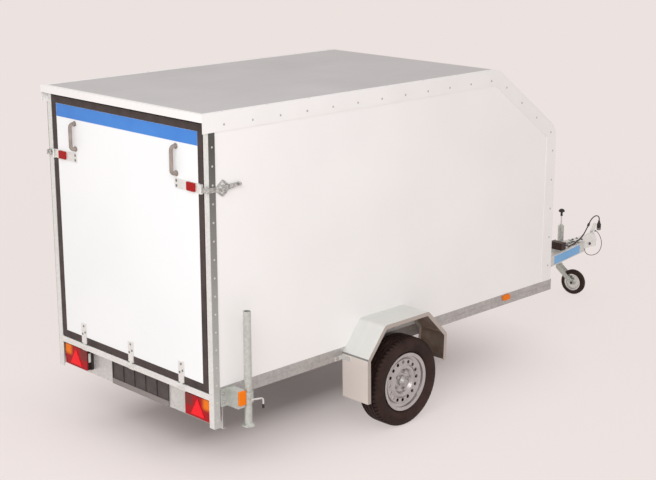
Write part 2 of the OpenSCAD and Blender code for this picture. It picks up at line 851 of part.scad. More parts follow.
// A lens inside the housing's rim, with a raised triangular reflector in its middle
module lamp_lenses() {
    z = [lamp_z + lamp_rim, lamp_z + lamp_h - lamp_rim];
    mid = (lamp_y[0] + lamp_y[1]) / 2;
    foot = lamp_z + (lamp_h - reflex_h) / 2;
    color("red") both_sides() {
        along([bumper_x - lamp_d, bumper_x - lamp_base_d])
            polygon(rounded_box([lamp_y[0] + lamp_rim, lamp_y[1] - lamp_rim], z, lamp_round - lamp_rim));
        along([bumper_x - lamp_d - reflex_t, bumper_x - lamp_d])
            polygon([[mid - reflex_w / 2, foot], [mid + reflex_w / 2, foot], [mid, foot + reflex_h]]);
    }
}

// A tray with a strip along its foot and a row of shallow cells that the plate covers
module plate_holder() {
    pitch = (holder_w - 2 * holder_edge + holder_rib) / holder_cells;
    color("black") difference() {
        slab([bumper_x - holder_t, bumper_x], [-holder_w / 2, holder_w / 2],
            [bumper_z, bumper_z + holder_h]);
        for (i = [0:holder_cells - 1]) let (y = holder_edge - holder_w / 2 + i * pitch)
            slab([bumper_x - 2 * holder_t, bumper_x - holder_floor], [y, y + pitch - holder_rib],
                [bumper_z + holder_strip, bumper_z + holder_h - holder_edge]);
    }
}

module side_markers() {
    x = body_l - marker_back;
    z = deck_z - marker_drop;
    color("orange") both_sides() {
        across([half_w, half_w + marker_t])
            polygon(rounded_box([x, x + marker_l], [z - marker_h, z], marker_round));
        across([outrigger_y, outrigger_y + marker_t])
            polygon(rounded_box([outrigger_x[0] + marker_inset, outrigger_x[1] - marker_inset],
                [outrigger_z[1] - stand_marker_h, outrigger_z[1]], marker_round));
    }
}

// A folded sheet over the wheel, with a rounded lip turned down along both edges
module mudguard() {
    outer = bent(guard_path, guard_bends, 0);
    color("lightgray") {
        across([half_w, guard_y]) polygon(concat(outer, reversed(bent(guard_path, guard_bends, -guard_t))));
        for (y = [half_w, guard_y - guard_t]) across([y, y + guard_t])
            polygon(concat(outer, reversed(bent(guard_path, guard_bends, -guard_lip))));
    }
}
module mudguard_left() mudguard();
module mudguard_right() right_side() mudguard();

// An angle between the side rail and the mudguard's end plate, which leans from a to b
module guard_bracket(a, b, way) {
    z = [rail_z + bracket_drop, rail_z + bracket_drop + bracket_h];
    x = [edge_x(a, b, z[0]), edge_x(a, b, z[1])];
    for (leg = [[bracket_reach, bracket_t], [bracket_t, bracket_l]]) across([half_w, half_w + leg[0]])
        polygon([[x[0], z[0]], [x[1], z[1]], [x[1] + way * leg[1], z[1]], [x[0] + way * leg[1], z[0]]]);
}
module mudguard_brackets() {
    color("silver") both_sides() {
        guard_bracket(guard_path[0], guard_path[1], -1);
        guard_bracket(guard_path[5], guard_path[4], 1);
    }
}

// A plate on the rail, an arm open below, and a round clamp with a boss for its screw
module on_clamp() {
    translate([stand_x, stand_y, clamp_z]) children();
}
module stand_clamps() {
    color("silver") both_sides() difference() {
        union() {
            slab([post_d + clamp_plate_gap, outrigger_front + clamp_plate_gap],
                [half_w, half_w + clamp_plate_t], outrigger_z);
            difference() {
                slab(outrigger_x, [half_w, outrigger_y], outrigger_z);
                slab([outrigger_x[0] + outrigger_wall, outrigger_x[1] - outrigger_wall],
                    [half_w + clamp_plate_t, outrigger_y - outrigger_wall],
                    [0, outrigger_z[1] - outrigger_wall]);
            }
            on_clamp() cylinder(r = stand_r + clamp_wall, h = clamp_h);
            on_clamp() rotate(lever_turn) bar_y(screw_boss_r, 0, [0, screw_out], clamp_h / 2);
        }
        on_clamp() translate([0, 0, -cut]) cylinder(r = stand_r + slide_gap, h = clamp_h + 2 * cut);
    }
}

// The clamp's screw with its bent rod, which turns forward and hangs down
module clamp_levers() {
    rod_y = screw_out + screw_l - screw_r;
    color("dimgray") both_sides() on_clamp() rotate(lever_turn) translate([0, 0, clamp_h / 2]) {
        bar_y(screw_r, 0, [screw_out, screw_out + screw_l], 0);
        bar_x(rod_r, [-screw_r, rod_l], rod_y, 0);
        translate([rod_l, rod_y, -rod_bend_r]) {
            rod_bend(rod_bend_r, rod_r);
            translate([rod_bend_r, 0, -rod_drop]) cylinder(r = rod_r, h = rod_drop);
            translate([rod_bend_r, 0, -rod_drop - rod_tip_l]) cylinder(r = rod_tip_r, h = rod_tip_l);
        }
    }
}

// A tube with a solid flared foot, open at the top
module prop_stand() {
    bore = stand_r - stand_wall;
    color("silver") translate([stand_x, stand_y, stand_lift]) rotate_extrude()
        polygon([[0, 0], [foot_r, 0], [foot_r, foot_t], [stand_r, foot_h], [stand_r, stand_l],
            [bore, stand_l], [bore, foot_h], [0, foot_h]]);
}
module prop_stand_left() prop_stand();
module prop_stand_right() right_side() prop_stand();

module coupling_head() {
    neck = [[leg_tip_x, neck_z], [ball_x, neck_z], [ball_x, dome_z + head_r / 2],
        [ball_x - head_r, leg_top + neck_rise], [leg_tip_x, leg_top + neck_step]];
    ceiling = leg_top + neck_step - neck_wall;
    bolts = [leg_tip_x + 3 * neck_bolt_r, ball_x - head_r - 2 * neck_bolt_r];
    color("gainsboro") difference() {
        union() {
            across([-neck_half, neck_half]) polygon(neck);
            slab([leg_tip_x - seat_in, leg_tip_x - seat_in + seat_l], [-seat_half, seat_half],
                [leg_top + plate_t, leg_top + plate_t + seat_t]);
            translate([ball_x, 0, neck_z]) cylinder(r = head_r, h = dome_z - neck_z);
            translate([ball_x, 0, dome_z]) sphere(head_r);
            slab([ball_x, front_x], [-lip_w / 2, lip_w / 2], [ball_z + lip_h, ball_z + 2 * lip_h]);
            both_sides() across([handle_half + slide_gap, handle_half + slide_gap + lug_t])
                polygon(link([lever_x, lever_z], lug_r, [ball_x + lug_r, dome_z], lug_r));
            bar_y(lug_pin_r, lever_x, [-handle_half - lug_t, handle_half + lug_t], lever_z);
            for (x = bolts) bar_y(neck_bolt_r, x, [-neck_half - neck_bolt_head, neck_half + neck_bolt_head],
                ball_z + lip_h);
        }
        slab([leg_tip_x - cut, ball_x - head_r - neck_wall], [neck_wall - neck_half, neck_half - neck_wall],
            [0, ceiling]);
        translate([ball_x, 0, ball_z - head_r]) cylinder(r = socket_r, h = head_r + socket_h);
        translate([ball_x, 0, ball_z + socket_h]) sphere(socket_r);
    }
}

// A lever on its pin between the head's lugs
module coupling_handle() {
    color("gainsboro") difference() {
        across([-handle_half, handle_half])
            polygon(link([lever_x, lever_z], handle_boss_r, lever_top, handle_tip_r));
        bar_y(lug_pin_r + pin_gap, lever_x, [-neck_half, neck_half], lever_z);
    }
}

module stem_clamp() {
    web_l = stem_r + stem_gap - clamp_pad / 2;
    color("silver") translate([0, 0, leg_z + clamp_inset]) linear_extrude(leg_h - 2 * clamp_inset)
        difference() {
            union() {
                translate([stem_x, stem_y]) circle(stem_r + clamp_wall);
                translate([stem_x, leg_y(stem_x)]) rotate(leg_deg) translate([-clamp_pad_l / 2, leg_w / 2])
                    square([clamp_pad_l, clamp_pad]);
                translate([stem_x - clamp_web / 2, stem_y - web_l]) square([clamp_web, web_l]);
            }
            translate([stem_x, stem_y]) circle(stem_r);
        }
}
module stem_tube() {
    color("silver") translate([stem_x, stem_y, stem_bottom]) difference() {
        cylinder(r = stem_r, h = stem_top - stem_bottom);
        translate([0, 0, -cut])
            cylinder(r = inner_r + slide_gap, h = stem_top - stem_bottom - stem_cap + cut);
    }
}

// A cap on the tube, a thin crank rod and a mushroom-shaped knob
module stem_crank() {
    knob_z = crank_cap_h + crank_h;
    dome = [for (a = [0:15:90]) [knob_r * cos(a), knob_edge + (knob_h - knob_edge) * sin(a)]];
    color("dimgray") translate([stem_x, stem_y, stem_top]) {
        cylinder(r = crank_cap_r, h = crank_cap_h);
        cylinder(r = crank_r, h = knob_z + knob_neck_h);
        translate([0, 0, knob_z]) cylinder(r = knob_neck_r, h = knob_neck_h);
        translate([0, 0, knob_z + knob_neck_h]) rotate_extrude()
            polygon(concat([[0, 0], [knob_neck_r, 0]], dome));
    }
}
module junction_box() {
    exit = lead_route[0];
    color("black") {
        along([box_x, box_x + box_l])
            polygon(rounded_box(box_y, [leg_top + plate_t, leg_top + plate_t + box_h], box_round));
        translate([box_x + box_l, exit[1], exit[2]]) rotate([0, 90, 0])
            cylinder(r1 = gland_r, r2 = gland_tip_r, h = exit[0] - box_x - box_l);
    }
}

module lead() color("black") cord(lead_route, lead_r, lead_sides);
module lead_plug() {
    tip = lead_route[len(lead_route) - 1];
    color("black") translate([tip[0], tip[1], tip[2] - plug_h]) rotate_extrude()
        polygon([[0, 0], [plug_r - plug_edge, 0], [plug_r, plug_edge], [plug_r, plug_body],
            [plug_neck_r, plug_h - plug_neck_r], [plug_neck_r, plug_h], [0, plug_h]]);
}
module safety_wire() color("dimgray") cord(wire_route, wire_r, wire_sides);

module on_wheel() {
    translate([axle_x, wheel_y, axle_z]) rotate([-90, 0, 0]) children();
}
module tyre() color("black") on_wheel() rotate_extrude($fn = 96) polygon(both_edges(tyre_half_section));
module tyre_left() tyre();
module tyre_right() right_side() tyre();

module rim() {
    color("silver") on_wheel() difference() {
        union() {
            rotate_extrude() polygon(sheet(rim_path, -sheet_t));
            rotate_extrude() polygon(sheet(disc_path, -sheet_t));
        }
        for (i = [0:vent_count - 1]) rotate(i * 360 / vent_count)
            translate([vent_circle_r, 0, 0]) cylinder(r = vent_r, h = tyre_w);
        for (i = [0:bolt_count - 1]) rotate(i * 360 / bolt_count)
            translate([bolt_r, 0, 0]) cylinder(r = stud_r + slide_gap, h = tyre_w);
    }
}
module rim_left() rim();
module rim_right() right_side() rim();

module hub() {
    bore_h = hub_y + spindle_reach - half_w + slide_gap;
    color("dimgray") translate([axle_x, 0, axle_z]) rotate([-90, 0, 0]) difference() {
        union() {
            translate([0, 0, hub_end]) cylinder(r = barrel_r, h = hub_y - hub_end);
            translate([0, 0, hub_y - flange_t]) cylinder(r = flange_r, h = flange_t);
            translate([0, 0, hub_y - cut]) cylinder(r = hub_r - slide_gap, h = spigot_h + 2 * cut);
            translate([0, 0, hub_y + spigot_h]) cylinder(r1 = cap_r, r2 = cap_tip_r, h = cap_h);
            for (i = [0:bolt_count - 1]) rotate(i * 360 / bolt_count) translate([bolt_r, 0, hub_y]) {
                translate([0, 0, -flange_t / 2]) cylinder(r = stud_r, h = sheet_t + flange_t);
                translate([0, 0, sheet_t]) cylinder(r = nut_r, h = nut_h, $fn = 6);
            }
        }
        translate([0, 0, half_w]) cylinder(r = spindle_r + pin_gap, h = bore_h);
    }
}
module hub_left() hub();
module hub_right() right_side() hub();

// The nose wheel's own frame: the stem at the origin, the trail along +X
module on_stem() {
    translate([stem_x, stem_y, 0]) rotate(nose_turn) children();
}
module nose_inner_tube() {
    foot = fork_z + crown_t;
    color("silver") translate([stem_x, stem_y, 0]) {
        translate([0, 0, foot]) cylinder(r = inner_r, h = stem_top - foot - inner_spare);
        translate([0, 0, fork_z - fork_gap]) cylinder(r = swivel_r, h = crown_t + 2 * fork_gap);
    }
}

// A round crown under the stem, a plate across it, and two leaning cheeks down to the wheel's bolt
module nose_fork() {
    cheek = nose_half + fork_gap;
    outer = cheek + fork_t;
    cheek_top = [0, fork_z + crown_plate - cheek_top_r];
    color("silver") on_stem() difference() {
        union() {
            translate([0, 0, fork_z]) cylinder(r = crown_r, h = crown_t - slide_gap);
            slab([-cheek_top_r, cheek_top_r], [-outer, outer], [fork_z, fork_z + crown_plate]);
            both_sides() across([cheek, outer])
                polygon(link(cheek_top, cheek_top_r, [nose_trail, nose_r], cheek_hub_r));
            bar_y(nose_pin_r, nose_trail, [-outer, outer], nose_r);
            both_sides() translate([nose_trail, outer + nose_nut_h, nose_r]) rotate([90, 0, 0])
                cylinder(r = nose_nut_r, h = nose_nut_h, $fn = 6);
        }
        translate([0, 0, fork_z - cut]) cylinder(r = swivel_r + pin_gap, h = crown_t + 2 * cut);
    }
}
module on_nose_wheel() {
    on_stem() translate([nose_trail, 0, nose_r]) rotate([-90, 0, 0]) children();
}

// A dished wheel with a long hub and a thin web, and the solid tyre round it
module nose_rim() {
    color("gainsboro") on_nose_wheel() rotate_extrude() polygon(both_edges(nose_rim_half));
}
module nose_tyre() {
    color("black") on_nose_wheel() rotate_extrude() polygon(both_edges(nose_tyre_half));
}

// Moves the trailer so that its middle is over the origin
module centred() translate([-mid_x, 0, 0]) children();

centred() side_rails();
centred() cross_members();
centred() rear_sill();
centred() bumper_plate();
centred() drawbar_legs();
centred() drawbar_brackets();
centred() axle_beam();
centred() suspension_arms();
centred() floor_panel();
centred() side_panel_left();
centred() side_panel_right();
centred() front_panel();
centred() slope_panel();
centred() roof_panel();
centred() roof_sheet();
centred() edge_trim_left();
centred() edge_trim_right();
centred() rear_band();
centred() door_lintel();
centred() corner_posts();
centred() hinge_brackets();
centred() side_latches();
centred() lamp_housings();
centred() lamp_lenses();
centred() plate_holder();
centred() side_markers();
centred() mudguard_left();
centred() mudguard_right();
centred() mudguard_brackets();
centred() stand_clamps();
centred() clamp_levers();
centred() coupling_head();
centred() coupling_handle();
centred() stem_clamp();
centred() stem_tube();
centred() stem_crank();
centred() junction_box();
centred() lead();
centred() lead_plug();
centred() safety_wire();
centred() door_panel();
centred() door_frame();
centred() hinge_straps();
centred() grab_handles();
centred() latch_plates();
centred() door_reflectors();
centred() tyre_left();
centred() rim_left();
centred() hub_left();
centred() tyre_right();
centred() rim_right();
centred() hub_right();
centred() prop_stand_left();
centred() prop_stand_right();
centred() nose_inner_tube();
centred() nose_fork();
centred() nose_rim();
centred() nose_tyre();
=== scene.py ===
# Closed box trailer: finishes, fasteners, tyre treads, lamp optics, stripes and cords round the packed
# frame.
from math import cos, pi, radians, sin

import bmesh
import bpy
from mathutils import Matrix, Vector


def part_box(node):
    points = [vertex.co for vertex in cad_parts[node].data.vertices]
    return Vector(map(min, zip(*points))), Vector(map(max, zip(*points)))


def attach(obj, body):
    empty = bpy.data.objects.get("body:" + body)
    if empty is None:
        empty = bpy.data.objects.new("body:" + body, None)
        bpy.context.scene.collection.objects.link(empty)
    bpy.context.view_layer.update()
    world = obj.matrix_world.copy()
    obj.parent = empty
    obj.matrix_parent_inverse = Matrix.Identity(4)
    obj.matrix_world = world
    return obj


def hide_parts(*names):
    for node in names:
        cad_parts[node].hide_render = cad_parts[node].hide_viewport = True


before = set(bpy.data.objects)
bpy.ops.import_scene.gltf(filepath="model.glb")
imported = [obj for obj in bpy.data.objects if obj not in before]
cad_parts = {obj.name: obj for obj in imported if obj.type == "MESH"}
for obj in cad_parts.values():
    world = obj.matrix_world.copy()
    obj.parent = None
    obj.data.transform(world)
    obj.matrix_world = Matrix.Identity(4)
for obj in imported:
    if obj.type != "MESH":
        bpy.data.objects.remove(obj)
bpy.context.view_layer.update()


# Chassis: rails, channels, sill, bumper sheet, V drawbar and axle beam, welded from rolled steel and
# then dipped whole in molten zinc. The zinc freezes in flat grey crystals a finger wide.
def linear(code):
    """An sRGB hex colour as the linear values that Blender mixes."""
    parts = [int(code[i:i + 2], 16) / 255 for i in (1, 3, 5)]
    return [p / 12.92 if p <= 0.04045 else ((p + 0.055) / 1.055) ** 2.4 for p in parts] + [1.0]


def put(tree, kind, settings=None, inputs=None):
    """Adds a node, with its settings, and values or links for its inputs."""
    node = tree.nodes.new(kind)
    for key, value in (settings or {}).items():
        setattr(node, key, value)
    for key, value in (inputs or {}).items():
        if isinstance(value, bpy.types.NodeSocket):
            tree.links.new(value, node.inputs[key])
        else:
            node.inputs[key].default_value = value
    return node


def finish(name, levels):
    """A new material with its constant levels: its tree, its shader and its Object coordinates."""
    material = bpy.data.materials.new(name)
    material.use_nodes = True
    tree = material.node_tree
    shader = tree.nodes["Principled BSDF"]
    for socket, level in levels.items():
        shader.inputs[socket].default_value = level
    place = put(tree, "ShaderNodeTexCoord").outputs["Object"]
    return material, tree, shader, place


def dress(material, *names):
    """Puts a material on nodes of the frame."""
    for name in names:
        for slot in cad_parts[name].material_slots:
            slot.material = material


def tones(tree, value, low, high):
    """A colour between two tones, by the middle range of a texture's value."""
    share = put(tree, "ShaderNodeMapRange", inputs={"Value": value, "From Min": 0.3, "From Max": 0.7})
    mix = put(tree, "ShaderNodeMix", {"data_type": "RGBA"}, {
        "Factor": share.outputs["Result"], 6: linear(low), 7: linear(high)})
    return mix.outputs[2]


def zinc(name, low, high):
    """Hot-dip galvanised steel: dull crystals, each a little lighter or rougher than the next."""
    spangle, cloud_size, crystal_share = 0.012, 0.143, 0.4
    material, tree, shader, place = finish(name, {"Metallic": 0.6})
    crystal = put(tree, "ShaderNodeTexVoronoi", inputs={"Vector": place, "Scale": 1 / spangle})
    shade = put(tree, "ShaderNodeSeparateColor", inputs={
        "Color": crystal.outputs["Color"]}).outputs["Red"]
    cloud = put(tree, "ShaderNodeTexNoise", inputs={
        "Vector": place, "Scale": 1 / cloud_size, "Detail": 4.0})
    blend = put(tree, "ShaderNodeMix", inputs={
        "Factor": crystal_share, "A": cloud.outputs["Fac"], "B": shade})
    colour = tones(tree, blend.outputs["Result"], low, high)
    tree.links.new(colour, shader.inputs["Base Color"])
    rough = put(tree, "ShaderNodeMapRange", inputs={"Value": shade, "To Min": 0.38, "To Max": 0.52})
    tree.links.new(rough.outputs["Result"], shader.inputs["Roughness"])
    return material, tree, shader, place, colour


# Painted shade: a duller grey copy of the zinc stands in for the darker light and reflection on the
# rails and the other side-facing or underneath parts. The sill is the palest copy.
galvanised = zinc("hot_dip_galvanised_steel", "#cfd0ce", "#e0e0dc")[0]
galvanised_in_painted_shade = zinc("galvanised_steel_painted_darker_for_shade", "#aeaba9", "#c2bfbc")[0]
fresh = zinc("fresh_galvanised_steel", "#e9e9e6", "#f3f3f0")[0]
dress(galvanised_in_painted_shade, "side_rails", "cross_members", "drawbar_brackets", "axle_beam")
dress(galvanised, "bumper_plate", "drawbar_legs")
dress(fresh, "rear_sill")


# Suspension arms: pressed steel arms with their spindles, sprayed with black chassis paint, which
# dries with a slight orange peel and a satin shine.
def clouded(tree, shader, place, patch, detail, low, high, harshness=0.5):
    """Paints a shader in soft patches of a size between two tones, and returns that colour."""
    cloud = put(tree, "ShaderNodeTexNoise", inputs={
        "Vector": place, "Scale": 1 / patch, "Detail": detail, "Roughness": harshness})
    colour = tones(tree, cloud.outputs["Fac"], low, high)
    tree.links.new(colour, shader.inputs["Base Color"])
    return colour


def grained(tree, shader, place, grain, detail, strength, depth):
    """Raises a grain on a shader. One that is finer in life is drawn a few millimetres wide, to show."""
    bumps = put(tree, "ShaderNodeTexNoise", inputs={
        "Vector": place, "Scale": 1 / grain, "Detail": detail})
    relief = put(tree, "ShaderNodeBump", inputs={
        "Height": bumps.outputs["Fac"], "Strength": strength, "Distance": depth})
    tree.links.new(relief.outputs["Normal"], shader.inputs["Normal"])


black_paint, tree, shader, place = finish("black_chassis_paint", {"Roughness": 0.42})
clouded(tree, shader, place, patch=0.0555, detail=5.0, low="#1d1c1b", high="#2f2c2a")
grained(tree, shader, place, grain=0.004, detail=2.0, strength=0.15, depth=0.0004)
dress(black_paint, "suspension_arms")


# Wheels: pressed steel rims in silver lacquer on galvanised hubs. The lacquer is a fine metallic flake
# under a thin clear coat, so it glints. What lies behind the disc is painted dark: painted shade
# inside the wheel.
def reach(tree, place, axis):
    """How far a point lies along an axis. Along Y it is counted outwards from the middle."""
    value = put(tree, "ShaderNodeSeparateXYZ", inputs={"Vector": place}).outputs[axis]
    if axis == "Y":
        value = put(tree, "ShaderNodeMath", {"operation": "ABSOLUTE"}, {0: value}).outputs["Value"]
    return value


def past(tree, place, axis, edge, side="GREATER_THAN"):
    """1 where a point lies past an edge along an axis, 0 elsewhere."""
    return put(tree, "ShaderNodeMath", {"operation": side}, {
        0: reach(tree, place, axis), 1: edge}).outputs["Value"]


def coats(tree, shader, colour, *layers):
    """Lays further colours over a shader's colour in turn, each where its share is 1."""
    for share, code in layers:
        colour = put(tree, "ShaderNodeMix", {"data_type": "RGBA"}, {
            "Factor": share, 6: colour, 7: linear(code)}).outputs[2]
    tree.links.new(colour, shader.inputs["Base Color"])


def painted_shade_behind_disc(tree, shader, place, colour):
    """Lays painted shade, a dark grey, over the colour behind the wheel's disc."""
    disc_y = 0.886
    coats(tree, shader, colour, (past(tree, place, "Y", disc_y, "LESS_THAN"), "#3f3a38"))


# A flake is far smaller in life than the 3 mm drawn here, which still shows
flake_size, bloom_size, flake_share = 0.003, 0.0833, 0.3
lacquer, tree, shader, place = finish("silver_wheel_lacquer", {
    "Metallic": 0.8, "Roughness": 0.3, "Coat Weight": 0.25})
flake = put(tree, "ShaderNodeTexNoise", inputs={"Vector": place, "Scale": 1 / flake_size, "Detail": 1.0})
bloom = put(tree, "ShaderNodeTexNoise", inputs={
    "Vector": place, "Scale": 1 / bloom_size, "Detail": 5.0, "Roughness": 0.6})
blend = put(tree, "ShaderNodeMix", inputs={
    "Factor": flake_share, "A": bloom.outputs["Fac"], "B": flake.outputs["Fac"]})
# Painted shade: the rim is darkened behind its disc
painted_shade_behind_disc(tree, shader, place, tones(tree, blend.outputs["Result"], "#aca7a6", "#cbc7c6"))
dress(lacquer, "rim_left", "rim_right")
# Painted shade: the hub is the zinc's darker copy, and darker still behind its disc
hub_zinc, tree, shader, place, colour = zinc("galvanised_hub_in_painted_shade", "#aeaba9", "#c2bfbc")
painted_shade_behind_disc(tree, shader, place, colour)
dress(hub_zinc, "hub_left", "hub_right")

# Road tyres: carbon-black rubber, moulded. Ribs and grooves run round the tread, and a row of slanted
# shoulder blocks stands on each edge. Rubber scatters light, so the walls look dusty brown-black.
rubber, tree, shader, place = finish("tread_rubber", {"Roughness": 0.72, "Specular IOR Level": 0.3})
clouded(tree, shader, place, patch=0.111, detail=6.0, low="#241713", high="#3e2a24", harshness=0.65)
grained(tree, shader, place, grain=0.005, detail=3.0, strength=0.2, depth=0.0005)


def smooth_through(points, steps):
    """Points on a smooth curve through the given ones, which it keeps."""
    ends = [points[0]] + points + [points[-1]]
    curve = []
    for i in range(1, len(ends) - 2):
        a, b, c, d = (Vector(p) for p in ends[i - 1:i + 3])
        for k in range(steps):
            t = k / steps
            curve.append(0.5 * (2 * b + (c - a) * t + (2 * a - 5 * b + 4 * c - d) * t * t
                                + (3 * b - a - 3 * c + d) * t ** 3))
    return curve + [Vector(points[-1])]


def new_piece(name, mesh, body, material=None):
    """A finished mesh as a piece that rides on a body."""
    if material:
        mesh.materials.clear()
        mesh.materials.append(material)
    piece = bpy.data.objects.new(name, mesh)
    bpy.context.scene.collection.objects.link(piece)
    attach(piece, body)
    return piece


def mesh_from(name, points, faces, smooth_angle=None):
    """A mesh from points and faces, its normals outwards, shaded smooth under an angle."""
    mesh = bpy.data.meshes.new(name)
    mesh.from_pydata([tuple(p) for p in points], [], faces)
    work = bmesh.new()
    work.from_mesh(mesh)
    bmesh.ops.recalc_face_normals(work, faces=work.faces)
    for edge in work.edges:
        folded = len(edge.link_faces) == 2 and edge.calc_face_angle(0.0) > radians(smooth_angle or 0)
        edge.smooth = not folded
    for face in work.faces:
        face.smooth = smooth_angle is not None
    work.to_mesh(mesh)
    work.free()
    return mesh


def turned(name, section, centre, steps, smooth_angle):
    """A closed section of radius and width, turned round an axle along Y."""
    count = len(section)
    points = [centre + Vector((r * cos(2 * pi * k / steps), y, r * sin(2 * pi * k / steps)))
              for k in range(steps) for r, y in section]
    faces = [(k * count + i, k * count + (i + 1) % count,
              (k + 1) % steps * count + (i + 1) % count, (k + 1) % steps * count + i)
             for k in range(steps) for i in range(count)]
    return mesh_from(name, points, faces, smooth_angle)


def socket_names(tree):
    """The identifiers of a node group's inputs by their names."""
    return {item.name: item.identifier for item in tree.interface.items_tree if item.in_out == "INPUT"}


def grown(name, mesh, tree, values):
    """The plain mesh that a node group makes from a start mesh, with its inputs set."""
    maker = bpy.data.objects.new(name, mesh)
    bpy.context.scene.collection.objects.link(maker)
    growth = maker.modifiers.new("growth", "NODES")
    growth.node_group = tree
    names = socket_names(tree)
    for key, value in values.items():
        growth[names[key]] = value
    evaluated = maker.evaluated_get(bpy.context.evaluated_depsgraph_get())
    solid = bpy.data.meshes.new_from_object(evaluated)
    bpy.data.objects.remove(maker)
    return solid


def node_group(name, **inputs):
    """A new geometry node group with named inputs, and its input and output nodes."""
    tree = bpy.data.node_groups.new(name, "GeometryNodeTree")
    tree.interface.new_socket("Geometry", in_out="INPUT", socket_type="NodeSocketGeometry")
    tree.interface.new_socket("Geometry", in_out="OUTPUT", socket_type="NodeSocketGeometry")
    for key, kind in inputs.items():
        tree.interface.new_socket(key, in_out="INPUT", socket_type="NodeSocket" + kind)
    return tree, tree.nodes.new("NodeGroupInput").outputs, tree.nodes.new("NodeGroupOutput").inputs


# The tread's tree: copies of one pitch of blocks round the axle
around_axle, given, made = node_group(
    "blocks_round_axle", Count="Int", Centre="Vector", Finish="Material")
spots = put(around_axle, "GeometryNodeMeshLine", inputs={"Count": given["Count"], "Offset": (0, 0, 0)})
index = put(around_axle, "GeometryNodeInputIndex").outputs["Index"]
part = put(around_axle, "ShaderNodeMath", {"operation": "DIVIDE"}, {0: index, 1: given["Count"]})
angle = put(around_axle, "ShaderNodeMath", {"operation": "MULTIPLY"}, {
    0: part.outputs["Value"], 1: 2 * pi})
turn = put(around_axle, "ShaderNodeCombineXYZ", inputs={"Y": angle.outputs["Value"]})
copies = put(around_axle, "GeometryNodeInstanceOnPoints", inputs={
    "Points": spots.outputs["Mesh"], "Instance": given["Geometry"], "Rotation": turn.outputs["Vector"]})
solid = put(around_axle, "GeometryNodeRealizeInstances", inputs={
    "Geometry": copies.outputs["Instances"]})
moved = put(around_axle, "GeometryNodeSetPosition", inputs={
    "Geometry": solid.outputs["Geometry"], "Offset": given["Centre"]})
coated = put(around_axle, "GeometryNodeSetMaterial", inputs={
    "Geometry": moved.outputs["Geometry"], "Material": given["Finish"]})
around_axle.links.new(coated.outputs["Geometry"], made["Geometry"])

tyre_steps, tread_fold = 128, 32
block_count, block_part, block_slant, block_width = 60, 0.68, 0.035, 0.03
# Sections as radius and half width: the wall from the bead up, the ribs, and one block
wall = smooth_through([(0.1664, 0.056), (0.185, 0.056), (0.199, 0.0735), (0.2145, 0.0805),
                       (0.232, 0.0824), (0.25, 0.0798), (0.263, 0.0745), (0.270, 0.068)], steps=4)
ribs = [Vector(p) for p in ((0.272, 0.064), (0.272, 0.0385), (0.2795, 0.0378), (0.2798, 0.0206),
                            (0.272, 0.0198), (0.272, 0.0132), (0.28, 0.0124))]
half_section = wall + ribs
tyre_section = [(p.x, p.y) for p in half_section] + [(p.x, -p.y) for p in reversed(half_section)]
block_section = [(0.268, 0.0455), (0.2795, 0.046), (0.2788, 0.058), (0.2745, 0.0655), (0.2668, 0.0725),
                 (0.258, 0.0765), (0.254, 0.0725)]
block_angle = 2 * pi / block_count * block_part
points, faces = [], []
for side in (1, -1):
    start = len(points)
    for k in (-0.5, 0.5):
        for r, y in block_section:
            a = k * block_angle + side * block_slant * (y - block_section[0][1]) / block_width
            points.append(Vector((r * cos(a), side * y, r * sin(a))))
    n = len(block_section)
    faces += [tuple(range(start, start + n)), tuple(range(start + n, start + 2 * n))]
    faces += [(start + i, start + (i + 1) % n, start + n + (i + 1) % n, start + n + i) for i in range(n)]
for side in ("left", "right"):
    low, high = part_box("tyre_" + side)
    hub = (Vector(low) + Vector(high)) / 2
    casing = turned("road_tyre_" + side, tyre_section, hub, tyre_steps, tread_fold)
    tyre = new_piece("road_tyre_" + side, casing, "wheel_" + side, rubber)
    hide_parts("tyre_" + side)
    blocks = grown("blocks", mesh_from("block", points, faces), around_axle,
                   {"Count": block_count, "Centre": hub, "Finish": rubber})
    new_piece("shoulder_blocks_" + side, blocks, "wheel_" + side)


# Mudguards: mill-finish aluminium sheet, folded over the wheel, with a paler skirt, on galvanised
# angles. Rolling leaves fine streaks along the sheet. Its cut outer edge has dulled. Its inside, which
# faces the axle, is painted brown in patches: painted shade, with road dirt.
def all_of(tree, *shares):
    """1 where every share is 1."""
    total = shares[0]
    for share in shares[1:]:
        total = put(tree, "ShaderNodeMath", {"operation": "MULTIPLY"}, {
            0: total, 1: share}).outputs["Value"]
    return total


def rolled(tree, shader, place, streak, detail, smoothest, roughest):
    """The mill's streaks, of a size along each axis. They vary the sheet's roughness."""
    stretch = put(tree, "ShaderNodeMapping", inputs={
        "Vector": place, "Scale": [1 / size for size in streak]})
    streaks = put(tree, "ShaderNodeTexNoise", inputs={
        "Vector": stretch.outputs["Vector"], "Scale": 1.0, "Detail": detail}).outputs["Fac"]
    rough = put(tree, "ShaderNodeMapRange", inputs={
        "Value": streaks, "To Min": smoothest, "To Max": roughest})
    tree.links.new(rough.outputs["Result"], shader.inputs["Roughness"])
    return streaks


guard_y, fold_z, edge_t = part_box("mudguard_left")[1][1], 0.512, 0.001
shade_and_dirt_size, side_on = 0.0714, 0.02
mill, tree, shader, place = finish("mill_finish_aluminium", {"Metallic": 0.7})
streaks = rolled(tree, shader, place, streak=(0.4, 0.004, 0.4), detail=3.0,
                 smoothest=0.38, roughest=0.42)
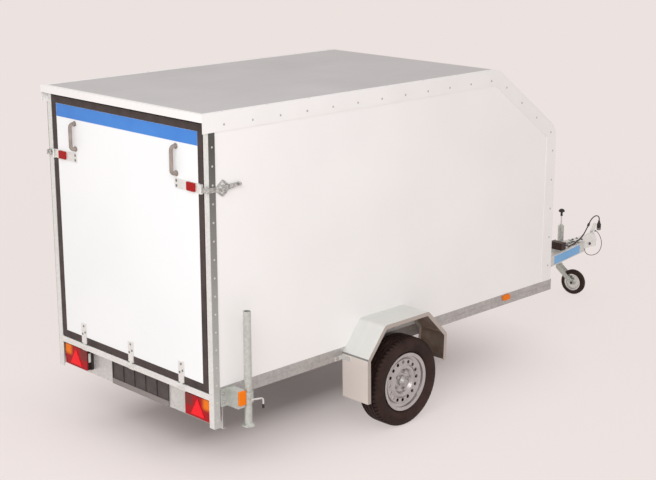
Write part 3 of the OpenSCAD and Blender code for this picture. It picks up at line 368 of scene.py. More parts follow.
# A face is inside where it looks towards the axle, which runs through the tyres' hubs
to_axle = put(tree, "ShaderNodeVectorMath", {"operation": "SUBTRACT"}, {0: (hub.x, 0, hub.z), 1: place})
across = put(tree, "ShaderNodeVectorMath", {"operation": "MULTIPLY"}, {
    0: to_axle.outputs["Vector"], 1: (1, 0, 1)})
towards = put(tree, "ShaderNodeVectorMath", {"operation": "DOT_PRODUCT"}, {
    0: across.outputs["Vector"], 1: place.node.outputs["Normal"]})
inside = put(tree, "ShaderNodeMath", {"operation": "GREATER_THAN"}, {
    0: towards.outputs["Value"], 1: side_on})
# Painted shade with road dirt: faces towards the axle are browned in patches
shade_and_dirt_noise = put(tree, "ShaderNodeTexNoise", inputs={
    "Vector": place, "Scale": 1 / shade_and_dirt_size, "Detail": 5.0, "Roughness": 0.65})
shade_and_dirt_patches = put(tree, "ShaderNodeMapRange", inputs={
    "Value": shade_and_dirt_noise.outputs["Fac"], "From Min": 0.35, "From Max": 0.65, "To Min": 0.86, "To Max": 1.0})
coats(tree, shader, tones(tree, streaks, "#e0e2de", "#e5e7e3"),
      (past(tree, place, "Z", fold_z, "LESS_THAN"), "#faf3eb"),
      (all_of(tree, inside.outputs["Value"], shade_and_dirt_patches.outputs["Result"]), "#9a8475"),
      (past(tree, place, "Y", guard_y - edge_t), "#bcb4ac"))
dress(mill, "mudguard_left", "mudguard_right")
dress(galvanised, "mudguard_brackets")


# Floor: film-faced birch plywood laid on the cross members. The brown phenolic film is pressed with a
# fine wire mesh so that loads don't slide, and the mesh breaks up its shine.
def embossed(tree, shader, place, pitch, strength, depth):
    """Raises a square grid on a shader, and returns its height."""
    grid = put(tree, "ShaderNodeTexVoronoi", {"distance": "CHEBYCHEV"}, {
        "Vector": place, "Scale": 1 / pitch, "Randomness": 0.0}).outputs["Distance"]
    relief = put(tree, "ShaderNodeBump", inputs={
        "Height": grid, "Strength": strength, "Distance": depth})
    tree.links.new(relief.outputs["Normal"], shader.inputs["Normal"])
    return grid


film_ply, tree, shader, place = finish("film_faced_plywood", {"Roughness": 0.45})
clouded(tree, shader, place, patch=0.167, detail=5.0, low="#3a2417", high="#523523")
embossed(tree, shader, place, pitch=0.006, strength=0.4, depth=0.0006)
dress(film_ply, "floor_panel")


# Walls and roof board: plywood panels with a white laminate face, pressed smooth. A faint long wave
# stays in the face, and its satin shine shows it only at a grazing angle.
def laminate(name, low, high):
    """White decorative laminate with fine pores."""
    material, tree, shader, place = finish(name, {"Roughness": 0.38})
    clouded(tree, shader, place, patch=0.625, detail=2.0, low=low, high=high)
    grained(tree, shader, place, grain=0.006, detail=2.0, strength=0.06, depth=0.0003)
    return material


# The door's board comes from another batch, a colder white
dress(laminate("white_laminate", "#f4f2f0", "#f8f6f4"),
      "side_panel_left", "side_panel_right", "front_panel", "slope_panel", "roof_panel")
dress(laminate("cold_white_laminate", "#f5f8f8", "#f9fbfb"), "door_panel")

# Roof sheet: one plain aluminium sheet bonded to the roof board, dull with a fine rolled grain that
# runs along the trailer and broad paler clouds.
cloud_size, cloud_share = 0.455, 0.5
roof_metal, tree, shader, place = finish("rolled_aluminium_roof", {"Metallic": 0.5})
streaks = rolled(tree, shader, place, streak=(0.667, 0.00833, 0.00833), detail=4.0,
                 smoothest=0.52, roughest=0.66)
cloud = put(tree, "ShaderNodeTexNoise", inputs={"Vector": place, "Scale": 1 / cloud_size, "Detail": 4.0})
blend = put(tree, "ShaderNodeMix", inputs={
    "Factor": cloud_share, "A": streaks, "B": cloud.outputs["Fac"]})
tree.links.new(tones(tree, blend.outputs["Result"], "#bfbfbf", "#cccccc"), shader.inputs["Base Color"])
dress(roof_metal, "roof_sheet")

# Edge trims and the band over the door: thin steel sheet, coil-coated white, folded and mitred, held
# by rivets. The coating is a shade greyer than the laminate, with a slight orange peel.
coated_white, tree, shader, place = finish("white_coil_coated_steel", {"Roughness": 0.34})
clouded(tree, shader, place, patch=0.333, detail=3.0, low="#f1efed", high="#f6f4f2")
grained(tree, shader, place, grain=0.003, detail=1.0, strength=0.08, depth=0.0002)
dress(coated_white, "edge_trim_left", "edge_trim_right", "rear_band")

# Corner posts and lintel: folded galvanised angles round the door opening. The flange on the side is
# riveted to the side panel. It is painted dark grey, more so higher up: painted shade for the darker
# reflection it shows.
wall_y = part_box("side_panel_left")[1][1]
shade_foot_z, shade_head_z, foot_shade_share, flange_gap = 0.45, 1.9, 0.3, 0.0005
post_zinc, tree, shader, place, colour = zinc("galvanised_steel_with_painted_shade_flange", "#e4e6e2", "#f0f1ee")
height = put(tree, "ShaderNodeMapRange", inputs={
    "Value": reach(tree, place, "Z"), "From Min": shade_foot_z, "From Max": shade_head_z,
    "To Min": foot_shade_share, "To Max": 1.0})
# Painted shade: the side flange is darkened, less towards its foot
flange_painted_shade = all_of(tree, past(tree, place, "Y", wall_y + flange_gap), height.outputs["Result"])
coats(tree, shader, colour, (flange_painted_shade, "#5d5d59"))
dress(post_zinc, "corner_posts")
dress(galvanised, "door_lintel")

# Rivets: zinc-plated heads along the trims and the posts' side flanges, each drawn down on its washer.
# The fastener tree sets a chamfered head on a washer at every point, turned to the way it faces.
fasteners, given, made = node_group("fastener_heads", **{
    "Head radius": "Float", "Head height": "Float", "Sides": "Int", "Washer radius": "Float",
    "Washer height": "Float", "Finish": "Material"})
tip_share = 0.72
tip_r = put(fasteners, "ShaderNodeMath", {"operation": "MULTIPLY"}, {
    0: given["Head radius"], 1: tip_share})
head = put(fasteners, "GeometryNodeMeshCone", inputs={
    "Vertices": given["Sides"], "Radius Bottom": given["Head radius"],
    "Radius Top": tip_r.outputs["Value"], "Depth": given["Head height"]})
washer = put(fasteners, "GeometryNodeMeshCylinder", inputs={
    "Vertices": 16, "Radius": given["Washer radius"], "Depth": given["Washer height"]})
joined = put(fasteners, "GeometryNodeJoinGeometry")
fasteners.links.new(head.outputs["Mesh"], joined.inputs["Geometry"])
fasteners.links.new(washer.outputs["Mesh"], joined.inputs["Geometry"])
facing = put(fasteners, "GeometryNodeInputNamedAttribute", {"data_type": "FLOAT_VECTOR"}, {
    "Name": "facing"})
way = put(fasteners, "FunctionNodeAlignRotationToVector", {"axis": "Z"}, {
    "Vector": facing.outputs["Attribute"]})
copies = put(fasteners, "GeometryNodeInstanceOnPoints", inputs={
    "Points": given["Geometry"], "Instance": joined.outputs["Geometry"],
    "Rotation": way.outputs["Rotation"]})
solid = put(fasteners, "GeometryNodeRealizeInstances", inputs={"Geometry": copies.outputs["Instances"]})
coated = put(fasteners, "GeometryNodeSetMaterial", inputs={
    "Geometry": solid.outputs["Geometry"], "Material": given["Finish"]})
fasteners.links.new(coated.outputs["Geometry"], made["Geometry"])


def row(start, end, pitch, facing):
    """Evenly spaced places from start to end, about a pitch apart, with the way they face."""
    start, end = Vector(start), Vector(end)
    count = max(1, round((end - start).length / pitch))
    return [(start.lerp(end, i / count), Vector(facing)) for i in range(count + 1)]


def fasten(name, places, body, material, head, sides, washer):
    """A piece with a fastener at every place. Its head and its washer are a radius and a height."""
    mesh = bpy.data.meshes.new(name)
    mesh.from_pydata([tuple(spot) for spot, facing in places], [], [])
    facings = mesh.attributes.new("facing", "FLOAT_VECTOR", "POINT")
    for item, (spot, facing) in zip(facings.data, places):
        item.vector = facing
    heads = grown(name, mesh, fasteners, {
        "Head radius": head[0], "Head height": head[1], "Sides": sides, "Washer radius": washer[0],
        "Washer height": washer[1], "Finish": material})
    return new_piece(name, heads, body)


# Bright zinc plate: a thin mirror-like coat that has gone faintly cloudy
cloud_size = 0.0333
plated, tree, shader, place = finish("bright_zinc_plate", {"Metallic": 0.85})
cloud = put(tree, "ShaderNodeTexNoise", inputs={"Vector": place, "Scale": 1 / cloud_size, "Detail": 4.0})
tree.links.new(tones(tree, cloud.outputs["Fac"], "#d3d4d0", "#e6e6e3"), shader.inputs["Base Color"])
rough = put(tree, "ShaderNodeMapRange", inputs={
    "Value": cloud.outputs["Fac"], "To Min": 0.24, "To Max": 0.4})
tree.links.new(rough.outputs["Result"], shader.inputs["Roughness"])

# Grey passivated steel: the dull coat of screws and seam strips
passivated = zinc("grey_passivated_steel", "#7d807e", "#949692")[0]

trim_low, trim_high = (Vector(c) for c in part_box("edge_trim_left"))
slope_run, slope_drop, rivet_pitch = 0.633, 0.453, 0.2022
roof_inset, slope_inset, nose_inset = 0.067, 0.057, 0.034
roof_first, slope_first, nose_first = 0.147, 0.137, 0.157
roof_corner = Vector((trim_high.x - slope_run, trim_high.z))
nose_corner = Vector((trim_high.x, trim_high.z - slope_drop))
along = (nose_corner - roof_corner).normalized()
inward = Vector((along.y, -along.x))
# The trim's three runs on the side: the first rivet, the way the row runs, and its steps
runs = ((Vector((trim_low.x + roof_first, trim_high.z - roof_inset)), Vector((1, 0)), 11),
        (roof_corner + along * slope_first + inward * slope_inset, along, 3),
        (Vector((trim_high.x - nose_inset, nose_corner.y - nose_first)), Vector((0, -1)), 4))
places = []
for side in (1, -1):
    face = side * trim_high.y
    for start, way, steps in runs:
        end = start + way * steps * rivet_pitch
        places += row((start.x, face, start.y), (end.x, face, end.y), rivet_pitch, (0, side, 0))
# Painted shade: the trim rivets take the zinc's darker copy
fasten("trim_rivets", places, "trailer", galvanised_in_painted_shade,
       head=(0.0045, 0.0022), sides=12, washer=(0.0062, 0.0008))

post_low, post_high = (Vector(c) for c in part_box("corner_posts"))
flange_inset, flange_foot, flange_head, flange_pitch = 0.020, 0.05, 0.16, 0.1
flange_x = post_high.x - flange_inset
places = []
for side in (1, -1):
    face = side * post_high.y
    places += row((flange_x, face, post_low.z + flange_foot),
                  (flange_x, face, post_high.z - flange_head), flange_pitch, (0, side, 0))
fasten("post_rivets", places, "trailer", plated,
       head=(0.0042, 0.002), sides=12, washer=(0.006, 0.0008))

# Roof rivets: the same zinc-plated heads in a row through the trim's fold along each edge of the roof.
# They hold the trim and the roof sheet to the roof board.
fold_inset, rear_gap, front_gap, fold_pitch = 0.017, 0.15, 0.08, 0.3
places = []
for side in (1, -1):
    fold_y = side * (trim_high.y - fold_inset)
    places += row((trim_low.x + rear_gap, fold_y, trim_high.z),
                  (roof_corner.x - front_gap, fold_y, trim_high.z), fold_pitch, (0, 0, 1))
fasten("roof_rivets", places, "trailer", plated,
       head=(0.0045, 0.0018), sides=12, washer=(0.0062, 0.0008))

# Door frame: a dark rubber-lipped profile pressed on the door's edge all round. It is matt and
# brown-black, with a trace of dust.
dark_profile, tree, shader, place = finish("dark_edge_profile", {"Roughness": 0.55})
clouded(tree, shader, place, patch=0.0714, detail=5.0, low="#332825", high="#463935")
grained(tree, shader, place, grain=0.004, detail=2.0, strength=0.12, depth=0.0004)
dress(dark_profile, "door_frame")

# Hinges: galvanised straps on pins in brackets on the sill. Three hexagon screws hold a strap to the
# door, one at its head and a staggered pair below.
dress(fresh, "hinge_straps", "hinge_brackets")
strap_t, strap_half = 0.005, 0.024
strap_high = Vector(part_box("hinge_straps")[1])
door_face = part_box("door_frame")[0][0]
hinge_y = strap_high.y - strap_half
strap_screws = ((0, 0.015), (-0.013, 0.052), (0.013, 0.066))
rearward = Vector((-1, 0, 0))
places = [(Vector((door_face - strap_t, y + across, strap_high.z - drop)), rearward)
          for y in (-hinge_y, 0, hinge_y) for across, drop in strap_screws]
fasten("strap_screws", places, "rear_door", passivated,
       head=(0.0052, 0.0034), sides=6, washer=(0.0072, 0.0012))

# Grab handles: bow-shaped, moulded in grey nylon, screwed to the door from inside. Moulding leaves a
# fine leathery grain.
nylon, tree, shader, place = finish("grey_nylon_moulding", {"Roughness": 0.5})
clouded(tree, shader, place, patch=0.04, detail=3.0, low="#8d8178", high="#a1958c")
grained(tree, shader, place, grain=0.0025, detail=2.0, strength=0.2, depth=0.0003)
dress(nylon, "grab_handles")

# Latches: plated plates and over-centre hooks at both edges of the door, with a red reflector on each
# plate. Two round-headed screws hold a plate's inner end. The hooks' plating is worn in bright and
# dark spots.
dress(fresh, "latch_plates")
worn_plate, tree, shader, place = finish("worn_zinc_plate", {"Metallic": 0.85, "Roughness": 0.3})
clouded(tree, shader, place, patch=0.01818, detail=5.0, low="#6d706c", high="#ecece9", harshness=0.65)
dress(worn_plate, "side_latches")
plate_w, plate_t, screw_inset, screw_half = 0.239, 0.004, 0.016, 0.014
plate_low, plate_high = (Vector(c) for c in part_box("latch_plates"))
plate_mid = (plate_low.z + plate_high.z) / 2
screw_y = plate_high.y - plate_w + screw_inset
places = [(Vector((door_face - plate_t, side * screw_y, plate_mid + up)), rearward)
          for side in (1, -1) for up in (-screw_half, screw_half)]
fasten("latch_screws", places, "rear_door", passivated,
       head=(0.0055, 0.0032), sides=12, washer=(0.008, 0.001))


# Reflectors and lamp lenses: clear acrylic, moulded in red and amber with rows of small prisms that
# throw light back. The rear lens is brightest in its triangle, amber at its outer top corner and smoky
# at its inner top corner, with a clear window in its inner end that lights the plate.
def acrylic(name, low, high, roughness, strength):
    """Dyed acrylic with its prisms, which are drawn twice as wide as in life, to show."""
    material, tree, shader, place = finish(name, {
        "Roughness": roughness, "IOR": 1.49, "Specular IOR Level": 0.15})
    prisms = embossed(tree, shader, place, pitch=0.006, strength=strength, depth=0.001)
    colour = tones(tree, prisms, low, high)
    tree.links.new(colour, shader.inputs["Base Color"])
    return material, tree, shader, place, colour


def fade(tree, place, axis, start, end):
    """A share that rises softly from 0 to 1 between two places along an axis."""
    return put(tree, "ShaderNodeMapRange", {"interpolation_type": "SMOOTHSTEP"}, {
        "Value": reach(tree, place, axis), "From Min": start, "From Max": end}).outputs["Result"]


red_acrylic = acrylic("red_acrylic", "#9c1214", "#b01a1b", roughness=0.16, strength=0.35)[0]
dress(red_acrylic, "door_reflectors")
amber_acrylic = acrylic("amber_acrylic", "#f57a06", "#fb8c14", roughness=0.15, strength=0.3)[0]
dress(amber_acrylic, "side_markers")

lens_w = 0.224
lens_low, lens_high = (Vector(c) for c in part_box("lamp_lenses"))
inner_y = lens_high.y - lens_w
# Zones by their distance from the lens's edges: soft corners, then the raised triangle and the inner end
amber_y, amber_z, smoky_y, smoky_z = (0.085, 0.045), (0.075, 0.045), (0.075, 0.06), (0.05, 0.07)
triangle_x, end_y, end_x, window_x, window_foot, window_head = 0.0025, 0.001, 0.010, 0.015, 0.05, 0.02
lamp_acrylic, tree, shader, place, red = acrylic(
    "two_colour_lamp_acrylic", "#a01018", "#b2171f", roughness=0.14, strength=0.3)
amber = all_of(tree, fade(tree, place, "Y", lens_high.y - amber_y[0], lens_high.y - amber_y[1]),
               fade(tree, place, "Z", lens_high.z - amber_z[0], lens_high.z - amber_z[1]))
smoky = all_of(tree, fade(tree, place, "Y", inner_y + smoky_y[0], inner_y + smoky_y[1]),
               fade(tree, place, "Z", lens_low.z + smoky_z[0], lens_low.z + smoky_z[1]))
triangle = past(tree, place, "X", lens_low.x + triangle_x, "LESS_THAN")
inner_end = all_of(tree, past(tree, place, "Y", inner_y + end_y, "LESS_THAN"),
                   past(tree, place, "X", lens_low.x + end_x))
window = all_of(tree, inner_end, past(tree, place, "X", lens_low.x + window_x),
                past(tree, place, "Z", lens_low.z + window_foot),
                past(tree, place, "Z", lens_high.z - window_head, "LESS_THAN"))
coats(tree, shader, red, (smoky, "#7f302e"), (amber, "#f07d12"), (triangle, "#fb1c28"),
      (inner_end, "#2a1c1b"), (window, "#dedbd6"))
dress(lamp_acrylic, "lamp_lenses")

# Lamp housings: ABS mouldings, black all through, screwed to the bumper sheet from behind. The mould
# was spark-eroded, which leaves a fine even grain that softens the shine.
abs_black, tree, shader, place = finish("black_abs_moulding", {"Roughness": 0.46})
clouded(tree, shader, place, patch=0.05, detail=4.0, low="#1f1b1a", high="#302a28")
grained(tree, shader, place, grain=0.002, detail=2.0, strength=0.18, depth=0.0003)
dress(abs_black, "lamp_housings")

# Plate holder: a tray moulded in grey-black ABS, clipped to the bumper sheet. It is smoother than the
# lamp housings and so a little shinier, with a paler strip along its foot.
strip_h = 0.034
strip_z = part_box("plate_holder")[0][2] + strip_h
tray, tree, shader, place = finish("grey_black_abs_moulding", {"Roughness": 0.4})
colour = clouded(tree, shader, place, patch=0.05, detail=4.0, low="#39312f", high="#4b4340")
coats(tree, shader, colour, (past(tree, place, "Z", strip_z, "LESS_THAN"), "#8a8380"))
dress(tray, "plate_holder")

# Prop stands: galvanised tubes, a greener grey than the chassis, in screw clamps on arms at the rails'
# rear ends. A clamp's screw is turned by a plated rod with a black plastic end.
stand_zinc = zinc("grey_galvanised_tube", "#bfc3bd", "#d0d3cd")[0]
dress(stand_zinc, "prop_stand_left", "prop_stand_right", "stand_clamps")


def tipped_rod(name, edge, side):
    """Bright plated rod with a duller black moulded end past a height."""
    material, tree, shader, place = finish(name, {})
    end = past(tree, place, "Z", edge, side)
    colour = clouded(tree, shader, place, patch=0.0333, detail=4.0, low="#cfd0cb", high="#e2e2de")
    coats(tree, shader, colour, (end, "#221d1c"))
    for socket, rod, tip in (("Metallic", 0.7, 0.0), ("Roughness", 0.34, 0.45)):
        level = put(tree, "ShaderNodeMapRange", inputs={"Value": end, "To Min": rod, "To Max": tip})
        tree.links.new(level.outputs["Result"], shader.inputs[socket])
    return material


tip_l = 0.023
lever_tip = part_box("clamp_levers")[0][2] + tip_l
dress(tipped_rod("plated_rod_with_black_tip", lever_tip, "LESS_THAN"), "clamp_levers")

# Coupling: a steel pressing with its handle, bolted to the drawbar's head. It was dipped on its own and
# is still fresh, so it stands out pale against the drawbar.
dress(fresh, "coupling_head", "coupling_handle")

# Nose wheel: a galvanised winding stem and fork, a plated steel rim and a solid rubber tyre. The crank
# is a plated rod with a black plastic knob, and a black bolt carries the wheel.
dress(stand_zinc, "stem_clamp", "stem_tube", "nose_inner_tube", "nose_fork")
knob_h = 0.060
knob_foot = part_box("stem_crank")[1][2] - knob_h
dress(tipped_rod("plated_crank_with_black_knob", knob_foot, "GREATER_THAN"), "stem_crank")
dress(plated, "nose_rim")
dress(rubber, "nose_tyre")

heading, cheek_half = radians(-80), 0.039
axle = Vector((-sin(heading), cos(heading), 0))
nose_hub = (Vector(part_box("nose_rim")[0]) + Vector(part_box("nose_rim")[1])) / 2
fasten("nose_axle_bolt", [(nose_hub + axle * cheek_half, axle), (nose_hub - axle * cheek_half, -axle)],
       "nose_castor", black_paint, head=(0.0085, 0.005), sides=12, washer=(0.0105, 0.001))

# Bolts: hexagon heads on washers hold the coupling, the stands' plates and the mudguard brackets to the
# chassis. Those of the coupling are blackened.
clamp_inset, clamp_y, clamp_z = 0.02, 0.755, (0.462, 0.511)
bracket_x, bracket_y, bracket_z = (-1.352, -0.55), 0.75, 0.49
clamp_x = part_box("stand_clamps")[0][0] + clamp_inset
places = []
for side in (1, -1):
    outward = Vector((0, side, 0))
    places += [(Vector((clamp_x, side * clamp_y, z)), outward) for z in clamp_z]
    places += [(Vector((x, side * bracket_y, bracket_z)), outward) for x in bracket_x]
# Painted shade: the chassis bolts take the zinc's darker copy
fasten("chassis_bolts", places, "trailer", galvanised_in_painted_shade,
       head=(0.0085, 0.006), sides=6, washer=(0.012, 0.0016))

seat_x, seat_y, seat_z = (2.078, 2.133), 0.024, 0.44
cheek_x, cheek_y, cheek_z = 2.230, 0.039, 0.389
upward = Vector((0, 0, 1))
places = [(Vector((x, y, seat_z)), upward) for x in seat_x for y in (-seat_y, seat_y)]
places += [(Vector((cheek_x, side * cheek_y, cheek_z)), Vector((0, side, 0))) for side in (1, -1)]
fasten("coupling_bolts", places, "trailer", black_paint,
       head=(0.0085, 0.006), sides=6, washer=(0.012, 0.0016))

# Junction box: moulded in brown-black plastic, on its plate over the drawbar. Four black screws hold
# its lid, and its smooth face has a soft shine.
lid_inset = 0.010
box_low, box_high = (Vector(c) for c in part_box("junction_box"))
box_brown, tree, shader, place = finish("brown_black_moulding", {"Roughness": 0.5})
clouded(tree, shader, place, patch=0.0333, detail=4.0, low="#2b1611", high="#3b211a")
dress(box_brown, "junction_box")
places = [(Vector((x, y, box_high.z)), upward) for x in (box_low.x + lid_inset, box_high.x - lid_inset)
          for y in (box_low.y + lid_inset, box_high.y - lid_inset)]
fasten("box_screws", places, "trailer", black_paint,
       head=(0.0035, 0.0015), sides=12, washer=(0.005, 0.0006))


# Stripes: plain blue vinyl film, laid on the door's head and on the right drawbar leg. It is thin and
# smooth, so only its edge and its gloss show.
def vinyl(name, low, high):
    """Glossy vinyl film, evenly dyed."""
    material, tree, shader, place = finish(name, {"Roughness": 0.3})
    clouded(tree, shader, place, patch=0.2, detail=3.0, low=low, high=high)
    return material


def strip(name, corner, along, up, out, thickness, body, material):
    """A thin sheet on a face, from one corner, with its two sides and the way it faces."""
    steps = 12
    out = Vector(out).normalized() * thickness
    points = [Vector(corner) + Vector(along) * (i / steps) + Vector(up) * j + out * k
              for k in (0, 1) for j in (0, 1) for i in range(steps + 1)]
    n = steps + 1
    faces = []
    for i in range(steps):
        faces += [(i, i + 1, n + i + 1, n + i), (2 * n + i, 2 * n + i + 1, 3 * n + i + 1, 3 * n + i),
                  (i, i + 1, 2 * n + i + 1, 2 * n + i), (n + i, n + i + 1, 3 * n + i + 1, 3 * n + i)]
    faces += [(0, n, 3 * n, 2 * n), (n - 1, 2 * n - 1, 4 * n - 1, 3 * n - 1)]
    return new_piece(name, mesh_from(name, points, faces), body, material)


film_t = 0.0006
stripe_z, stripe_h, stripe_inset = 1.895, 0.077, 0.002
door_low, door_high = (Vector(c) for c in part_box("door_panel"))
stripe_half = door_high.y - stripe_inset
strip("door_stripe", (door_low.x, -stripe_half, stripe_z), (0, 2 * stripe_half, 0), (0, 0, stripe_h),
      (-1, 0, 0), film_t, "rear_door", vinyl("blue_vinyl_film", "#357fd4", "#408adc"))
leg_start, leg_end = Vector((1.613, -0.1442, 0.357)), Vector((2.038, -0.0760, 0.357))
leg_slope, leg_stripe_h = 0.16048, 0.066
strip("drawbar_stripe", leg_start, leg_end - leg_start, (0, 0, leg_stripe_h), (leg_slope, -1, 0),
      film_t, "trailer", vinyl("sky_blue_vinyl_film", "#68ade6", "#78b8ec"))

# Mudguard seams: a narrow strip of dark grey passivated steel over the lap where the rear skirt meets
# the slope, a painted shadow: it stands in for the thin line of shade under the slope's lower edge.
seam_x, seam_z, seam_t = -1.3059, 0.5119, 0.001
seam_up, seam_out = (0.0042, 0, 0.0095), (-0.909, 0, 0.417)
for side, name in ((1, "left"), (-1, "right")):
    strip("guard_painted_shadow_line_" + name, (seam_x, side * wall_y, seam_z), (0, side * (guard_y - wall_y), 0),
          seam_up, seam_out, seam_t, "trailer", passivated)

# Lead: black PVC cable with seven cores, from the junction box over the coupling to the plug, which
# hangs by it. The sheath is extruded, smooth and faintly shiny.
sheath, tree, shader, place = finish("black_pvc_sheath", {"Roughness": 0.4})
clouded(tree, shader, place, patch=0.0167, detail=3.0, low="#171312", high="#282220")


def run_cord(name, route, radius, material):
    """A round cord on one smooth curve through its route."""
    curve = bpy.data.curves.new(name, "CURVE")
    curve.dimensions = "3D"
    curve.bevel_depth = radius
    curve.bevel_resolution = 4
    curve.use_fill_caps = True
    curve.resolution_u = 6
    line = curve.splines.new("BEZIER")
    line.bezier_points.add(len(route) - 1)
    for point, spot in zip(line.bezier_points, route):
        point.co = spot
        point.handle_left_type = point.handle_right_type = "AUTO"
    curve.materials.append(material)
    piece = bpy.data.objects.new(name, curve)
    bpy.context.scene.collection.objects.link(piece)
    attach(piece, "trailer")
    return piece


lead_r, lead_length = 0.0045, 0.640
lead_route = [(1.829, -0.076, 0.458), (1.843, -0.076, 0.458), (1.863, -0.073, 0.450),
              (1.883, -0.069, 0.441), (1.908, -0.065, 0.435), (1.933, -0.061, 0.435),
              (1.958, -0.057, 0.435), (1.983, -0.053, 0.436), (2.008, -0.049, 0.438),
              (2.033, -0.045, 0.442), (2.058, -0.042, 0.447), (2.083, -0.040, 0.454),
              (2.108, -0.039, 0.465), (2.133, -0.038, 0.480), (2.155, -0.037, 0.498),
              (2.175, -0.036, 0.518), (2.195, -0.035, 0.539), (2.215, -0.033, 0.560),
              (2.237, -0.030, 0.578), (2.262, -0.027, 0.591), (2.290, -0.024, 0.599),
              (2.319, -0.021, 0.601), (2.345, -0.018, 0.596), (2.365, -0.016, 0.586),
              (2.376, -0.015, 0.574), (2.380, -0.014, 0.562), (2.380, -0.014, 0.550)]
lead = run_cord("trailer_lead", lead_route, lead_r, sheath)
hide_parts("lead")


def round_bar(name, stations, steps, smooth_angle, material):
    """A piece of closed rings along its stations, each a place and a radius."""
    spots = [Vector(spot) for spot, radius in stations]
    last = len(spots) - 1
    points, faces = [], []
    for i, (spot, radius) in enumerate(stations):
        way = (spots[min(i + 1, last)] - spots[max(i - 1, 0)]).normalized()
        side = way.cross(Vector((0, 1, 0))).normalized()
        across = way.cross(side)
        points += [spots[i] + radius * (cos(2 * pi * k / steps) * side
                                        + sin(2 * pi * k / steps) * across) for k in range(steps)]
    for i in range(last):
        here, there = i * steps, (i + 1) * steps
        faces += [(here + k, here + (k + 1) % steps, there + (k + 1) % steps, there + k)
                  for k in range(steps)]
    faces += [tuple(range(steps)), tuple(range(last * steps, (last + 1) * steps))]
    return new_piece(name, mesh_from(name, points, faces, smooth_angle), "trailer", material)


def sleeve(name, start, end, radius):
    """A moulded sleeve with tapered ends on a cord."""
    start, end = Vector(start), Vector(end)
    taper = ((0, 0.6), (0.15, 0.95), (0.3, 1), (0.7, 1), (0.85, 0.95), (1, 0.6))
    stations = [(start.lerp(end, t), radius * part) for t, part in taper]
    return round_bar(name, stations, steps=20, smooth_angle=40, material=sheath)


# Along the drawbar leg the lead runs in a corrugated conduit
conduit_r, groove_r, ribs_per_point = 0.0062, 0.0052, 4
run = smooth_through(lead_route[2:14], ribs_per_point)
ridges = [(spot, conduit_r if i % 2 else groove_r) for i, spot in enumerate(run)]
conduit = round_bar("lead_conduit", ridges, steps=16, smooth_angle=20, material=sheath)
lead_sleeve = sleeve("lead_sleeve", lead_route[16], lead_route[17], radius=0.0095)

# The plug is moulded on the cable in the same black, and its contact end is grey
contact_l = 0.020
contact_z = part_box("lead_plug")[0][2] + contact_l
plug_shell, tree, shader, place = finish("two_tone_plug_moulding", {"Roughness": 0.42})
colour = clouded(tree, shader, place, patch=0.0167, detail=4.0, low="#1b1615", high="#2b2422")
coats(tree, shader, colour, (past(tree, place, "Z", contact_z, "LESS_THAN"), "#7f7a77"))
dress(plug_shell, "lead_plug")

# Safety wire: a thin steel rope in black plastic, in one loop under the coupling, from its neck to the
# handle's foot.
wire_r, wire_length = 0.0025, 0.434
wire_route = [(2.173, -0.031, 0.360), (2.173, -0.031, 0.348), (2.177, -0.032, 0.333),
              (2.188, -0.035, 0.318), (2.205, -0.039, 0.305), (2.227, -0.044, 0.296),
              (2.251, -0.048, 0.291), (2.276, -0.052, 0.290), (2.301, -0.054, 0.293),
              (2.325, -0.055, 0.300), (2.347, -0.054, 0.312), (2.366, -0.051, 0.328),
              (2.380, -0.047, 0.347), (2.388, -0.042, 0.368), (2.390, -0.036, 0.390),
              (2.387, -0.029, 0.412), (2.379, -0.022, 0.433), (2.367, -0.015, 0.452),
              (2.352, -0.009, 0.467), (2.338, -0.004, 0.472), (2.325, -0.004, 0.472)]
wire = run_cord("breakaway_wire", wire_route, wire_r, sheath)
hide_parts("safety_wire")
wire_sleeve = sleeve("wire_sleeve", wire_route[-3], wire_route[-1], radius=0.0055)

# Studio: a pale floor that runs on out of sight, and soft light from all round and from a soft box
# behind the trailer, on its right. The floor glows to the eye, less so near the trailer, where its
# shadow lies.
floor_half, core, core_half = 60.0, (-1.1, 0.1, 0), (1.1, 0.25, 0)
glow_shares = ((0.0, 0.08), (0.25, 0.37), (0.6, 0.55), (1.2, 0.82), (8.0, 0.93))
paper, tree, shader, place = finish("pale_studio_floor", {"Roughness": 0.9, "Specular IOR Level": 0.1})
clouded(tree, shader, place, patch=3.33, detail=2.0, low="#f0e6e3", high="#f3e9e6")


def seen_rays(tree):
    """1 for what the eye sees, straight or in metal and glass, 0 for light on its way to the object."""
    rays = put(tree, "ShaderNodeLightPath").outputs
    seen = rays["Is Camera Ray"]
    for ray in ("Is Glossy Ray", "Is Transmission Ray"):
        seen = put(tree, "ShaderNodeMath", {"operation": "MAXIMUM"}, {
            0: seen, 1: rays[ray]}).outputs["Value"]
    return seen


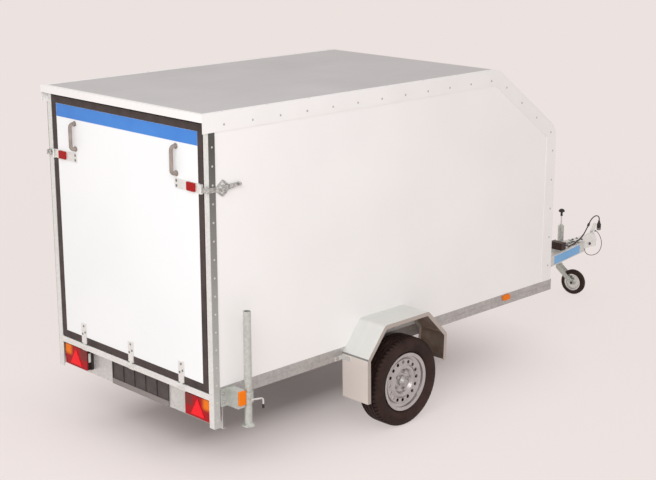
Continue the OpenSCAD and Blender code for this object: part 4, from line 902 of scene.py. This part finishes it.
away = place
for step, value in (("SUBTRACT", core), ("ABSOLUTE", core), ("SUBTRACT", core_half),
                    ("MAXIMUM", (0, 0, 0))):
    away = put(tree, "ShaderNodeVectorMath", {"operation": step}, {0: away, 1: value}).outputs["Vector"]
distance = put(tree, "ShaderNodeVectorMath", {"operation": "LENGTH"}, {0: away}).outputs["Value"]
share = glow_shares[0][1]
for (start, low), (end, high) in zip(glow_shares, glow_shares[1:]):
    rise = put(tree, "ShaderNodeMapRange", inputs={
        "Value": distance, "From Min": start, "From Max": end, "To Min": 0.0, "To Max": high - low})
    share = put(tree, "ShaderNodeMath", {"operation": "ADD"}, {
        0: share, 1: rise.outputs["Result"]}).outputs["Value"]
glow = put(tree, "ShaderNodeEmission", inputs={"Color": linear("#eee4e1"), "Strength": 1.0})
pale = put(tree, "ShaderNodeMixShader", inputs={
    0: all_of(tree, seen_rays(tree), share), 1: shader.outputs["BSDF"], 2: glow.outputs["Emission"]})
tree.links.new(pale.outputs["Shader"], tree.nodes["Material Output"].inputs["Surface"])
corners = [(-floor_half, -floor_half, 0), (floor_half, -floor_half, 0),
           (floor_half, floor_half, 0), (-floor_half, floor_half, 0)]
floor_mesh = mesh_from("floor", corners, [(0, 1, 2, 3)])
floor_mesh.materials.append(paper)
floor = bpy.data.objects.new("floor", floor_mesh)
bpy.context.scene.collection.objects.link(floor)

world = bpy.data.worlds.new("soft_room")
bpy.context.scene.world = world
world.use_nodes = True
tree = world.node_tree
air = tree.nodes["Background"]
air.inputs["Color"].default_value = linear("#fbf9f8")
air.inputs["Strength"].default_value = 0.74
backdrop = put(tree, "ShaderNodeBackground", inputs={"Color": linear("#ede3e0"), "Strength": 1.0})
view = put(tree, "ShaderNodeMixShader", inputs={
    0: seen_rays(tree), 1: air.outputs["Background"], 2: backdrop.outputs["Background"]})
tree.links.new(view.outputs["Shader"], tree.nodes["World Output"].inputs["Surface"])

lamp = bpy.data.lights.new("soft_box", "AREA")
lamp.shape = "RECTANGLE"
lamp.size, lamp.size_y = 5.0, 4.0
lamp.energy = 228.0
lamp.color = linear("#f9fbff")[:3]
lamp_stand = bpy.data.objects.new("soft_box", lamp)
lamp_stand.location = (-6.1, -3.6, 4.9)
lamp_aim = Vector((-1.5, 0.0, 0.9)) - lamp_stand.location
lamp_stand.rotation_euler = lamp_aim.to_track_quat("-Z", "Y").to_euler()
bpy.context.scene.collection.objects.link(lamp_stand)

yaw, pitch = 45.49, -14.88
camera_data = bpy.data.cameras.new("photo_view")
camera_data.sensor_width = 36.0
camera_data.lens = 76.44
camera_data.clip_end = 200.0
camera = bpy.data.objects.new("photo_view", camera_data)
camera.location = (-6.885, -6.2972, 3.3028)
camera.rotation_euler = (radians(90 + pitch), 0, radians(yaw - 90))
bpy.context.scene.collection.objects.link(camera)
bpy.context.scene.camera = camera
bpy.context.scene.view_settings.view_transform = "Standard"
